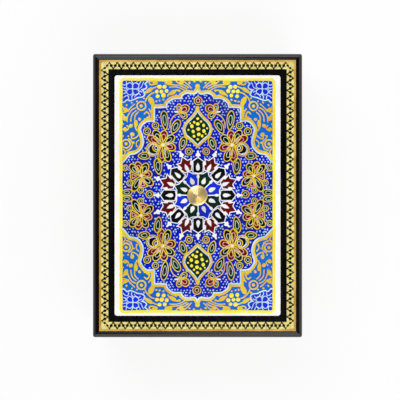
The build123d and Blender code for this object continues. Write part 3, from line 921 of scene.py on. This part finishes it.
for k in range(8):
    cell(HOUSE, 45 * k, "black", 18.9, 25.0, 3.0)
    cell(TULIP, 45 * k + 22.5, "crimson", 20.0, 25.8, 2.9)
    cell(INNER, 45 * k + 22.5, "royal" if k % 2 == 0 else "green", 9.0, 14.6, 3.3)
    dot(placed([(14.0, 0)], CENTRE, 45 * k)[0], 1.1, "white", stretch=1.3, angle=45 * k)
for k in range(16):
    out = 2.4 * (k % 2)
    fill(placed([(r + out, t) for r, t in whole(SPEAR)], CENTRE, 22.5 * k), "white", DETAIL)
    line(placed([(29.8 + out, 0), (33.6 + out, 0)], CENTRE, 22.5 * k), 1.5, "white", lift=DETAIL)
    fill(placed(whole(ARROW), CENTRE, 22.5 * k + 11.25), "white", DETAIL)
    dot(placed([(24.9, 0)], CENTRE, 22.5 * k + 11.25)[0], 0.9, "white", lift=DETAIL)
print("white", len(strokes["white"][1]), "faces")

# %% [markdown]
# ### Gold scrollwork and corner lattice
# The light blue fields carry loose gold scrolls: ring flowers, commas, grapes and long feathered strokes.
# The corners have a white lattice of loops and curls.

# %% Scrollwork
GRAPES = (
    (29.0, 83.2), (25.1, 83.0), (30.9, 79.5), (27.4, 79.5), (23.5, 79.9), (30.3, 75.8), (25.9, 76.4),
)
SEEDS = (
    (31.5, 71.9), (29.0, 72.3), (26.1, 73.1), (40.9, 74.2), (16.4, 76.6), (13.9, 79.9), (46.2, 71.9), (57.0, 67.4),
    (50.2, 71.0), (54.2, 69.0), (6.2, 86.0), (2.6, 87.2), (36.6, 60.3), (38.8, 63.6), (35.6, 64.6), (57.2, 54.6),
    (53.0, 45.2), (48.8, 40.4), (51.0, 36.2), (57.0, 45.6), (46.4, 37.6), (56.9, 30.6), (9.2, 79.8), (20.0, 86.2),
)
SCROLLS = (
    # width, then points
    (1.1, (22.8, 75.8), (21.2, 78.0), (17.4, 80.2), (13.3, 80.3)),
    (0.9, (25.3, 87.7), (23.4, 85.2), (19.4, 84.6), (14.0, 84.0), (8.0, 81.5)),
    (0.8, (21.2, 82.8), (16.2, 83.0), (11.6, 81.4), (8.0, 78.9)),
    (0.8, (10.0, 86.9), (7.4, 84.9), (4.7, 82.2)),
    (0.9, (16.2, 87.3), (13.6, 85.2), (10.0, 84.4), (6.6, 82.4)),
    (0.9, (48.0, 70.0), (51.2, 67.0), (53.4, 64.6), (57.0, 63.4)),
    (0.9, (47.2, 67.1), (50.4, 65.4), (52.1, 63.0), (53.4, 60.0), (53.8, 56.4)),
    (0.9, (46.8, 65.0), (49.2, 63.0), (50.5, 60.5), (50.9, 56.8)),
    (0.9, (45.1, 63.8), (47.4, 61.4), (48.0, 58.5), (47.6, 52.7), (46.3, 49.4)),
    (1.0, (40.0, 71.8), (38.8, 74.4), (35.4, 77.8), (32.9, 78.6)),
    (1.0, (41.4, 78.0), (38.6, 79.4), (34.6, 81.6), (31.0, 83.2)),
    (1.0, (31.6, 87.6), (33.4, 84.9), (36.4, 84.9), (36.9, 87.0), (35.0, 87.4)),
    (1.0, (40.8, 58.4), (38.2, 59.0), (36.9, 61.6), (38.6, 63.8), (40.6, 62.2)),
    (0.9, (35.1, 58.9), (35.3, 62.5), (37.2, 66.2)),
    (0.9, (44.0, 47.6), (46.4, 44.6), (49.8, 43.4), (50.4, 45.6)),
    (0.9, (52.6, 43.6), (50.4, 41.8), (49.8, 38.8), (51.4, 35.6), (54.4, 34.4)),
    (0.9, (57.0, 35.6), (55.2, 33.6), (56.4, 30.0), (57.2, 27.8)),
    (0.8, (44.8, 42.4), (46.8, 40.4), (46.6, 37.8)),
    (0.9, (57.2, 50.8), (54.4, 49.6), (52.6, 51.6), (53.9, 53.6)),
)
PAISLEYS = (
    # middle, width, angle and length of a gold leaf
    ((34.8, 71.2), 3.6, 62, 9.4), ((37.6, 80.1), 2.8, 148, 8.0), ((19.4, 78.4), 3.0, 150, 6.4),
    ((54.6, 65.4), 2.8, 20, 5.0), ((47.2, 54.2), 2.8, 95, 7.0), ((22.2, 86.2), 3.4, 165, 6.0),
    ((32.6, 86.4), 3.2, 190, 4.6), ((12.4, 86.6), 2.8, 160, 5.0), ((37.4, 58.8), 2.0, 30, 4.0),
)
BLOBS = (
    (55.0, 58.9, 1.7), (51.0, 53.3, 1.4), (55.2, 50.4, 1.5), (49.8, 46.7, 1.5), (44.2, 58.2, 1.1), (56.6, 61.0, 1.0),
)
RING_FLOWERS = (((42.8, 68.4), 3.3, 1.3), ((54.6, 39.6), 3.1, 1.2))


def brushed_dot(quarter, point, paint, least, most, stretch, turn):
    """A dot of a size and a turn that differ each time."""
    radius = scatter.uniform(least, most)
    dot(spot(quarter, point), radius, paint, stretch=stretch, angle=scatter.uniform(0, turn))


for quarter in QUARTERS:
    for middle, radius, heart in RING_FLOWERS:
        line(mirrored(quarter, ring(middle, radius, 18)), 1.15, "gold", closed=True)
        dot(spot(quarter, middle), heart, "gold")
    for width, *points in SCROLLS:
        line(mirrored(quarter, through(*points)), width, "gold")
    for middle, width, angle, length in PAISLEYS:
        root = placed([(-length / 2, 0)], middle, angle)[0]
        shape = mirrored(quarter, teardrop(root, angle, length, width, pointed=0.7))
        fill(shape, "gold", LINE)
        line(shrunk(shape, 0.72), width * 0.28, "gold", closed=True, relief=0.14)
    for point in GRAPES:
        brushed_dot(quarter, point, "yellow", 1.35, 1.7, 1.1, 90)
    for point in SEEDS:
        brushed_dot(quarter, point, "gold", 0.55, 0.8, 1.3, 180)
    for a, b, radius in BLOBS:
        dot(spot(quarter, (a, b)), radius, "gold", stretch=1.2, angle=scatter.uniform(0, 180))

# %% Corner lattice
LATTICE_MIDDLE = (49.5, 81.6)
CURLS = (
    ((43.6, 87.4), (44.6, 85.2), (46.6, 85.9), (46.2, 87.3)),
    ((56.9, 77.9), (54.9, 78.5), (55.1, 80.3), (57.0, 80.5)),
    ((52.7, 74.1), (53.3, 76.3), (55.3, 76.1), (56.8, 74.6)),
    ((43.6, 76.8), (45.2, 78.2), (47.3, 76.8), (48.2, 75.1)),
    ((41.2, 86.9), (42.2, 84.6), (43.0, 82.6), (44.4, 81.9)),
    ((42.6, 78.9), (44.0, 79.9), (45.0, 79.4)),
    ((54.6, 87.4), (54.2, 85.6), (55.6, 84.4), (57.0, 85.0)),
    ((50.2, 73.9), (50.5, 75.6), (49.4, 76.8)),
    ((50.5, 87.6), (49.6, 86.6), (49.8, 85.2)),
    ((57.0, 82.6), (55.6, 82.2), (54.1, 82.6)),
)
for quarter in QUARTERS:
    for angle in (45, 135, 225, 315):
        loop = teardrop(LATTICE_MIDDLE, angle, 5.6, 4.4, pointed=0.8, count=14)
        line(mirrored(quarter, loop), 0.6, "pale", closed=True)
    for points in CURLS:
        line(mirrored(quarter, through(*points)), 0.6, "pale")
    for angle in range(0, 360, 90):
        point = placed([(4.6, 0)], LATTICE_MIDDLE, angle)[0]
        dot(spot(quarter, point), 0.5, "pale", stretch=1.4, angle=angle)
    dot(spot(quarter, LATTICE_MIDDLE), 0.7, "pale")

# %% [markdown]
# ### Specks
# The cobalt is scattered with small white touches of the brush. A slightly disturbed hexagonal grid looks
# hand-placed where pure chance would clump, and a nearest-point tree keeps the specks off everything else.

# %% Specks on the cobalt
SPECK_SPACING = 2.45
SPECK_CLEAR = 1.15  # from the middle of a speck to anything painted
nearest = KDTree(len(painted))
for i, (a, b) in enumerate(painted):
    nearest.insert((a, b, 0), i)
nearest.balance()
specks = 0
row_step = SPECK_SPACING * math.sqrt(3) / 2
for j in range(-int(82 / row_step), int(82 / row_step) + 1):
    for i in range(-int(60 / SPECK_SPACING), int(60 / SPECK_SPACING) + 1):
        a = (i + 0.5 * (j % 2)) * SPECK_SPACING + scatter.uniform(-0.5, 0.5)
        b = j * row_step + scatter.uniform(-0.5, 0.5)
        if abs(a) > 56.6 or not inside((a, b), medallion) or nearest.find((a, b, 0))[2] < SPECK_CLEAR:
            continue
        shape = {"stretch": scatter.uniform(1.0, 1.7), "angle": scatter.uniform(0, 180)}
        dot((a, b), scatter.uniform(0.45, 0.66), "speck", relief=0.1, count=7, mark=False, **shape)
        specks += 1
print(specks, "specks")

# %% [markdown]
# ### Paints
# Each paint is its own glassy enamel with two shades, mixed softly over the plate. The raised strokes carry
# no extra bump, because their relief is in the mesh.

# %% Paint materials and pieces
PAINTS = {
    "azure": (rgb(16, 110, 214), rgb(22, 88, 186), 22.0),
    "cobalt": (rgb(8, 28, 204), rgb(8, 14, 140), 26.0),
    "royal": (rgb(22, 56, 226), rgb(16, 34, 190), 60.0),
    "white": (rgb(252, 250, 246), rgb(232, 234, 240), 120.0),
    "pale": (rgb(216, 236, 248), rgb(176, 208, 236), 120.0),
    "speck": (rgb(190, 214, 232), rgb(136, 174, 216), 300.0),
    "sage": (rgb(216, 228, 214), rgb(168, 190, 176), 160.0),
    "rose": (rgb(240, 196, 204), rgb(214, 150, 160), 160.0),
    "gold": (rgb(234, 208, 58), rgb(214, 168, 32), 30.0),
    "yellow": (rgb(254, 242, 76), rgb(248, 216, 44), 30.0),
    "crimson": (rgb(116, 10, 18), rgb(80, 6, 14), 90.0),
    "green": (rgb(10, 50, 34), rgb(6, 28, 22), 90.0),
    "black": (rgb(8, 12, 12), rgb(2, 5, 6), 90.0),
}


for paint, (shade_a, shade_b, scale) in PAINTS.items():
    made = enamel(f"enamel_{paint}", shade_a, shade_b, scale)
    add_piece(f"painted_{paint}", *strokes[paint], made, "lid", "enamel")

# %% [markdown]
# ## Turned knob
# A lathe profile spun round the Z axis. Fine rounded ridges cross its face, so that it shows bright wedges
# towards the two end lamps, as turned brass does.

# %% Knob
def lathe(profile, turns=96):
    """A profile of (radius, height) in millimetres, its ends on the axis, spun round Z."""
    vertices = [(0, 0, profile[0][1] * mm)]
    for radius, height in profile[1:-1]:
        vertices += [(a * mm, b * mm, height * mm) for a, b in ring((0, 0), radius, turns)]
    last = len(vertices)
    vertices.append((0, 0, profile[-1][1] * mm))
    faces = []
    for j in range(turns):
        k = (j + 1) % turns
        faces += [(0, 1 + k, 1 + j), (last, last - turns + j, last - turns + k)]
    for row in range(len(profile) - 3):
        faces += face_rows(1 + row * turns, 1 + (row + 1) * turns, turns)
    return vertices, faces


knob_low, knob_high = (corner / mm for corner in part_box("knob"))
foot, top, head = knob_low.z, knob_high.z, knob_high.x
NECK, BEAD = 2.8, 0.55  # radius of the neck, and how round the bead on it is
CUP = 5.6  # from the foot to where the head starts
CUP_EDGE = 1.6  # thickness of the head's edge
RIDGE, RIDGES = 0.92, 6  # ridges across the face, from one to the next, and how many
RIDGE_POINTS = 6

knob_outline = [(0, foot)]
knob_outline += [(r, foot + h) for r, h in ((4.3, 0), (4.5, 0.2), (4.5, 0.7), (4.3, 0.9), (3.9, 0.95))]
for share in (0.15, 0.35, 0.6, 0.85, 1.0):
    knob_outline.append((NECK + 1.1 * (1 - math.sin(share * math.pi / 2)), foot + 0.95 + 3.5 * share))
for turn in range(-60, 61, 30):
    angle = math.radians(turn)
    knob_outline.append((NECK + BEAD * math.cos(angle), foot + 5.0 + BEAD * math.sin(angle)))
for share in (0.05, 0.2, 0.4, 0.6, 0.8, 0.95):
    bulge = 0.63 * math.sin(share * math.pi)
    height = foot + CUP + (top - CUP_EDGE - foot - CUP) * share
    knob_outline.append((NECK + (head - NECK - 0.1) * share + bulge, height - bulge))
edge = ((0.06, 1.55), (0, 1.3), (0, 0.5), (0.12, 0.2), (0.4, 0.02), (0.9, 0.02), (1.1, 0.12))
knob_outline += [(head - inward, top - down) for inward, down in edge]
for i in range(RIDGES * RIDGE_POINTS):
    radius = head - 1.2 - RIDGE * i / RIDGE_POINTS
    crown = 0.34 * (1 - (radius / head) ** 2)
    ridge = 0.13 * abs(math.sin(math.pi * i / RIDGE_POINTS))
    knob_outline.append((radius, top - 0.62 + crown + ridge))
knob_outline += [(0.75, top - 0.3), (0.5, top - 0.62), (0, top - 0.75)]
add_piece("knob_turned", *lathe(knob_outline), BRASS, "lid", "brass", ["knob"])

# %% [markdown]
# ## Marquetry
# Every strip is laid out in the same units: light triangles point out and in by turns, with a dark line
# between them and a dark lozenge on every leg. On the lid the triangles are in the frame already, so only the
# dark stringing that fills the joints is added. The band round the body gets its own triangles, let into a
# dark ground.

# %% Marquetry units
BAND = 5.4
UNIT = 6.2  # nearest whole number of triangles is fitted to each strip
LID_FIELD = 6.8  # from the lid's edge to the marquetry's outer edge
WALL_FIELD = 2.8  # from the box's corner to the first triangle on a wall
half_length, half_width = (round(v / mm, 2) for v in cad_high[:2])
OUT = {"front": half_width, "right": half_length, "back": half_width, "left": half_length}
ALONG = {side: OUT[SIDES[i - 1]] for i, side in enumerate(SIDES)}


def leg_length(pitch):
    """The length of a triangle's leg."""
    return math.hypot(pitch / 2, BAND)


def beside_leg(pitch, stations):
    """Points beside the right leg of a triangle with its base down, each (up the leg, inside it)."""
    c, s = pitch / 2 / leg_length(pitch), BAND / leg_length(pitch)
    return [(pitch / 2 - c * along - s * inward, s * along - c * inward) for along, inward in stations]


def tile_outline(pitch):
    """A light triangle, its point cut off and its legs notched for the lozenges."""
    leg = leg_length(pitch)
    stations = ((0.2, 0.4), (leg / 2 - 1.2, 0.4), (leg / 2, 1.35), (leg / 2 + 1.2, 0.4), (leg - 1.5, 0.4))
    right = [(x, max(y, 0.12)) for x, y in beside_leg(pitch, stations)]
    return right + [(-x, y) for x, y in reversed(right)]


def lozenge_outline(pitch, long, wide):
    """The dark lozenge on the right leg."""
    middle = leg_length(pitch) / 2
    corners = ((-1, 0), (0, 1), (1, 0), (0, -1))
    return beside_leg(pitch, [(middle + a * long / 2, b * wide / 2) for a, b in corners])


def string_outline(pitch, wide):
    """The dark line along the right leg."""
    low, high, half = 0.15, leg_length(pitch) - 0.15, wide / 2
    return beside_leg(pitch, ((low, -half), (low, half), (high, half), (high, -half)))


def set_in(kept, outline, place, top, depth, bevel=0.0):
    """Add a flat piece to (vertices, faces): its top face, a bevel if asked, and its sides."""
    vertices, faces = kept
    if signed_area(outline) < 0:
        outline = outline[::-1]
    loops = [(grown(outline, -bevel), top), (outline, top - 0.6 * bevel)] if bevel else [(outline, top)]
    loops.append((outline, top - depth))
    start, count = len(vertices), len(outline)
    for loop, height in loops:
        vertices.extend(place(u, v, height) for u, v in loop)
    faces.append(tuple(range(start, start + count)))
    for upper in range(start, start + count * (len(loops) - 1), count):
        faces.extend(face_rows(upper + count, upper, count))


def on_side(side, x, y, z):
    """A point drawn for the front, in millimetres, turned round to a side and put in metres."""
    turn = math.radians(90 * SIDES.index(side))
    c, s = math.cos(turn), math.sin(turn)
    return (x * c - y * s) * mm, (x * s + y * c) * mm, z * mm


def lid_place(side):
    """From along, inward and up on one side of the lid to the frame."""
    return lambda u, v, w: on_side(side, u, LID_FIELD + v - OUT[side], w)


def wall_place(side):
    """From along, up and outward on one wall to the frame."""
    return lambda u, v, w: on_side(side, u, -w, v)


# %% Stringing on the lid and the band round the body
def strip_of(run):
    """The pitch of a strip, and for each triangle its place along it and whether its base faces out."""
    count = round(run / UNIT)
    pitch = run / count
    return pitch, [(-run / 2 + i * pitch / 2, i % 2 == 1) for i in range(1, 2 * count)]


def in_strip(outline, middle, base_out, base=0.0):
    """An outline of one triangle at its place in the strip, turned over where its base faces in."""
    return [(middle + x, base + (y if base_out else BAND - y)) for x, y in outline]


for side in SIDES:
    half_run = ALONG[side] - LID_FIELD
    pitch, triangles = strip_of(2 * half_run)
    strings, place = ([], []), lid_place(side)
    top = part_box(f"marquetry_{side}")[1].z / mm + 0.04
    for triangle in triangles:
        for outline in (string_outline(pitch, 0.85), lozenge_outline(pitch, 3.4, 2.7)):
            outline = in_strip(outline, *triangle)
            if all(abs(u) + v < half_run for u, v in outline):
                set_in(strings, outline, place, top, 0.5)
    add_piece(f"stringing_{side}", *strings, EBONY, "lid", "ebony_inlay", smooth=False)

for side in SIDES:
    node = nodes[f"side_marquetry_{side}"]
    low, high = (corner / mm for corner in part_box(node.name))
    shrink = (1 - 0.3 / half_length, 1 - 0.3 / half_width)
    ground = [(v.co.x * shrink[0], v.co.y * shrink[1], v.co.z) for v in node.data.vertices]
    faces = [tuple(polygon.vertices) for polygon in node.data.polygons]
    add_piece(f"band_ground_{side}", ground, faces, EBONY, "case", "ebony_inlay", [node.name], smooth=False)
    pitch, triangles = strip_of(2 * (ALONG[side] - WALL_FIELD))
    light, dark, place = ([], []), ([], []), wall_place(side)
    base = (low.z + high.z - BAND) / 2
    for triangle in triangles:
        tile = in_strip(tile_outline(pitch), *triangle, base)
        set_in(light, tile, place, OUT[side] - 0.02, 0.5, bevel=0.12)
    for triangle in triangles[:-1]:
        lozenge = in_strip(lozenge_outline(pitch, 2.0, 1.6), *triangle, base)
        set_in(dark, lozenge, place, OUT[side] - 0.04, 0.5, bevel=0.1)
    add_piece(f"band_tiles_{side}", *light, BONE, "case", "bone_inlay", smooth=False)
    add_piece(f"band_lozenges_{side}", *dark, EBONY, "case", "ebony_inlay", smooth=False)

# %% [markdown]
# ## Hinge screws
# Two slotted countersunk heads in each leaf. They stand a hair above the brass, so that the slot and the rim
# read.

# %% Slotted screw heads
HINGE_X = 61.0  # from the middle of the box to the middle of each hinge
SCREW_STEP = 7.5  # from there to each screw
SCREW_Y = 73.4
SCREW_RADIUS = 1.3


def slotted_head(kept, x, y, height, upward, slot_turn):
    """A round head of two halves with a slot between them, and the slot's floor."""
    rim = [math.radians(10 + 160 * i / 12) for i in range(13)]
    c, s = math.cos(slot_turn), math.sin(slot_turn)

    def place(u, v, w):
        return (x + c * u - s * v * upward) * mm, (y + s * u + c * v * upward) * mm, (height + upward * w) * mm

    for radius in (SCREW_RADIUS, -SCREW_RADIUS):
        set_in(kept, [(radius * math.cos(t), radius * math.sin(t)) for t in rim], place, 0.08, 0.3, bevel=0.1)
    set_in(kept, ring((0, 0), SCREW_RADIUS, 20), place, -0.12, 0.2)


body_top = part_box("wall_back")[1].z / mm
lid_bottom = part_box("lid_rail_back")[0].z / mm
for leaf, body, height, upward in (("fixed", "case", body_top, 1), ("moving", "lid", lid_bottom, -1)):
    heads = ([], [])
    for middle in (-HINGE_X, HINGE_X):
        for x in (middle - SCREW_STEP, middle + SCREW_STEP):
            slotted_head(heads, x, SCREW_Y, height, upward, 0.9 * x)
    add_piece(f"leaf_screws_{leaf}", *heads, HINGE_BRASS, body, "brass", smooth=False)

# %% [markdown]
# ## Upholstery
# The padded floor and the panel in the lid are blown up as cloth from a thin board, with their swelling
# limited so that they stay flat against the wood. The wall lining is velvet over card: a mitred slab with a
# rounded top edge and soft, uneven faces. Under the box is a sheet of felt.

# %% Pads
PAD_PRESSURE = 4.0
PAD_SWELL = 2.4 * mm  # the most that a point moves
PAD_VOXEL = 2.8 * mm
PAD_FRAMES = 14
CORD = 0.6  # radius of the piping
CORD_INSET = 0.7  # from the pad's edge to the piping's middle
CORD_SIDES = 8
DRAWN_IN = 0.35  # how far a side pulls in at its middle


def swollen(piece):
    """Inflate the piece as cloth. Returns its points before and after."""
    rest = np.empty(3 * len(piece.data.vertices))
    piece.data.vertices.foreach_get("co", rest)
    cloth = piece.modifiers.new("swell", "CLOTH")
    cloth.settings.use_pressure = True
    cloth.settings.uniform_pressure_force = PAD_PRESSURE
    cloth.settings.effector_weights.gravity = 0
    cloth.settings.mass = 0.1
    cloth.settings.quality = 4
    cloth.point_cache.frame_start, cloth.point_cache.frame_end = 1, PAD_FRAMES
    for frame_number in range(1, PAD_FRAMES + 1):
        bpy.context.scene.frame_set(frame_number)
    solved = piece.evaluated_get(bpy.context.evaluated_depsgraph_get()).to_mesh()
    blown = np.empty_like(rest)
    solved.vertices.foreach_get("co", blown)
    piece.modifiers.clear()
    bpy.context.scene.frame_set(1)
    return rest.reshape(-1, 3), blown.reshape(-1, 3)


def piping(name, node, body, share):
    """The corded seam round a pad at a share of its height, drawn in between the corners as the pad is."""
    low, high = (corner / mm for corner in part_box(node))
    height = low.z + share * (high.z - low.z)
    vertices, faces = [], []
    loop = rounded_frame(high.x - CORD_INSET, high.y - CORD_INSET, 3.0)
    for i, (x, y) in enumerate(loop):
        back, ahead = Vector(loop[i - 1]), Vector(loop[(i + 1) % len(loop)])
        out = Vector(((ahead - back).y, -(ahead - back).x)).normalized()
        along = y / high.y if abs(out.x) > 0.9 else x / high.x
        pull = max(0.0, DRAWN_IN * (1 - along**2))
        for aside, rise in ring((0, 0), CORD, CORD_SIDES):
            reach = aside - pull
            vertices.append(((x + out.x * reach) * mm, (y + out.y * reach) * mm, (height + rise) * mm))
        following = (i + 1) % len(loop)
        faces += face_rows(i * CORD_SIDES, following * CORD_SIDES, CORD_SIDES)
    add_piece(name, vertices, faces, VELVET, body, "velvet")


def velvet_pad(name, node, body, face_up):
    """A padded board that fills the node's box, flat on one side."""
    low, high = (np.array(corner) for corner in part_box(node))
    inset = np.array((0.5 * mm, 0.5 * mm, 0))
    start, end = low + inset, high - inset
    if face_up:
        end[2] -= PAD_SWELL
    else:
        start[2] += PAD_SWELL
    board = [(start[0], start[1]), (end[0], start[1]), (end[0], end[1]), (start[0], end[1])]
    mesh = bpy.data.meshes.new(name)
    corners = [(x, y, z) for z in (start[2], end[2]) for x, y in board]
    mesh.from_pydata(corners, [], [(3, 2, 1, 0), (4, 5, 6, 7)] + face_rows(0, 4, 4))
    piece = linked(name, mesh)
    remesh = piece.modifiers.new("remesh", "REMESH")
    remesh.mode, remesh.voxel_size = "VOXEL", PAD_VOXEL
    solved = bpy.data.meshes.new_from_object(piece.evaluated_get(bpy.context.evaluated_depsgraph_get()))
    piece.modifiers.clear()
    piece.data = solved
    rest, blown = swollen(piece)
    length = np.linalg.norm(blown - rest, axis=1, keepdims=True)
    final = rest + (blown - rest) * np.minimum(1, PAD_SWELL / np.maximum(length, 1e-9))
    # the cloth shrinks a little, so it is drawn back to the board's outline
    inner, outer = final[:, :2].min(axis=0), final[:, :2].max(axis=0)
    final[:, :2] = low[:2] + (final[:, :2] - inner) * (high - low)[:2] / (outer - inner)
    final = np.clip(final, low, high)
    solved.vertices.foreach_set("co", final.ravel())
    solved.materials.clear()
    solved.materials.append(VELVET)
    solved.polygons.foreach_set("use_smooth", [True] * len(solved.polygons))
    smooth = piece.modifiers.new("smooth", "SUBSURF")
    smooth.levels = smooth.render_levels = 1
    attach(piece, body)
    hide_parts(node)
    print(name, len(final), "points, height", round((final[:, 2].max() - final[:, 2].min()) / mm, 2))


velvet_pad("floor_cushion", "floor_pad", "case", True)
velvet_pad("lid_cushion", "lid_pad", "lid", False)
piping("floor_piping", "floor_pad", "case", 0.62)
piping("lid_piping", "lid_pad", "lid", 0.38)

# %% Wall lining
LINING_STEP = 3.5  # length of one piece along the wall
FOLD_DEPTH = 0.3


def lining_section(thick, low, high):
    """Round a lining, as (depth into the room, height): up the back, over the top and down the face."""
    back = [(0.02, low), (0.02, low + (high - low) * 0.5), (0.02, high - 0.9)]
    turns = [math.radians(angle) for angle in range(30, 180, 30)]
    over = [(thick / 2 * (1 - math.cos(t)), high - thick / 2 * (1 - math.sin(t))) for t in turns]
    brow = high - 1.1
    return back + over + [(thick - 0.02, brow - (brow - low) * k / 12) for k in range(13)]


for side in SIDES:
    low, high = (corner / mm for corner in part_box(f"lining_{side}"))
    depth_axis = 1 if side in ("front", "back") else 0
    out, half = max(high[depth_axis], -low[depth_axis]), high[1 - depth_axis]
    thick = high[depth_axis] - low[depth_axis]
    section = lining_section(thick, low.z, high.z)
    steps = round(2 * half / LINING_STEP)
    place, vertices = wall_place(side), []
    for i in range(steps + 1):
        share = 2 * i / steps - 1
        for depth, height in section:
            soft = FOLD_DEPTH * noise.noise(Vector((share * half / 16, height / 12, SIDES.index(side) * 7.1)))
            given = min(max(depth - max(0.0, soft) * (depth > thick / 2), 0.0), thick)
            vertices.append(place(share * (half - given), height, out - given))
    rows = len(section)
    faces = [tuple(range(rows)), tuple(range((steps + 1) * rows - 1, steps * rows - 1, -1))]
    for i in range(steps):
        faces += face_rows((i + 1) * rows, i * rows, rows)
    lining = add_piece(f"velvet_wall_{side}", vertices, faces, VELVET, "case", "velvet", [f"lining_{side}"])

# %% Felt
low, high = (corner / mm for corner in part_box("felt_base"))
FELT_ROWS = ((0.35, low.z + 0.02), (0.0, low.z + 0.3), (0.05, high.z - 0.25), (0.3, high.z))  # inset, height
vertices, faces = [], []
for inset, height in FELT_ROWS:
    for x, y in rounded_frame(high.x - inset - 0.1, high.y - inset - 0.1, 2.5):
        stray = 0.1 * noise.noise(Vector((x / 1.5, y / 1.5, height)))
        vertices.append(((x + stray * (abs(x) < high.x - 3)) * mm, y * mm, height * mm))
count = len(vertices) // len(FELT_ROWS)
for row in range(len(FELT_ROWS) - 1):
    faces += face_rows(row * count, (row + 1) * count, count)
faces += [tuple(range(count - 1, -1, -1)), tuple(range(3 * count, 4 * count))]
felt = add_piece("felt_sheet", vertices, faces, FELT, "case", "felt", ["felt_base"], smooth=False)

# %% Close the file
low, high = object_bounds()
{"cad": [list(cad_low), list(cad_high)], "visual": [list(low), list(high)]}
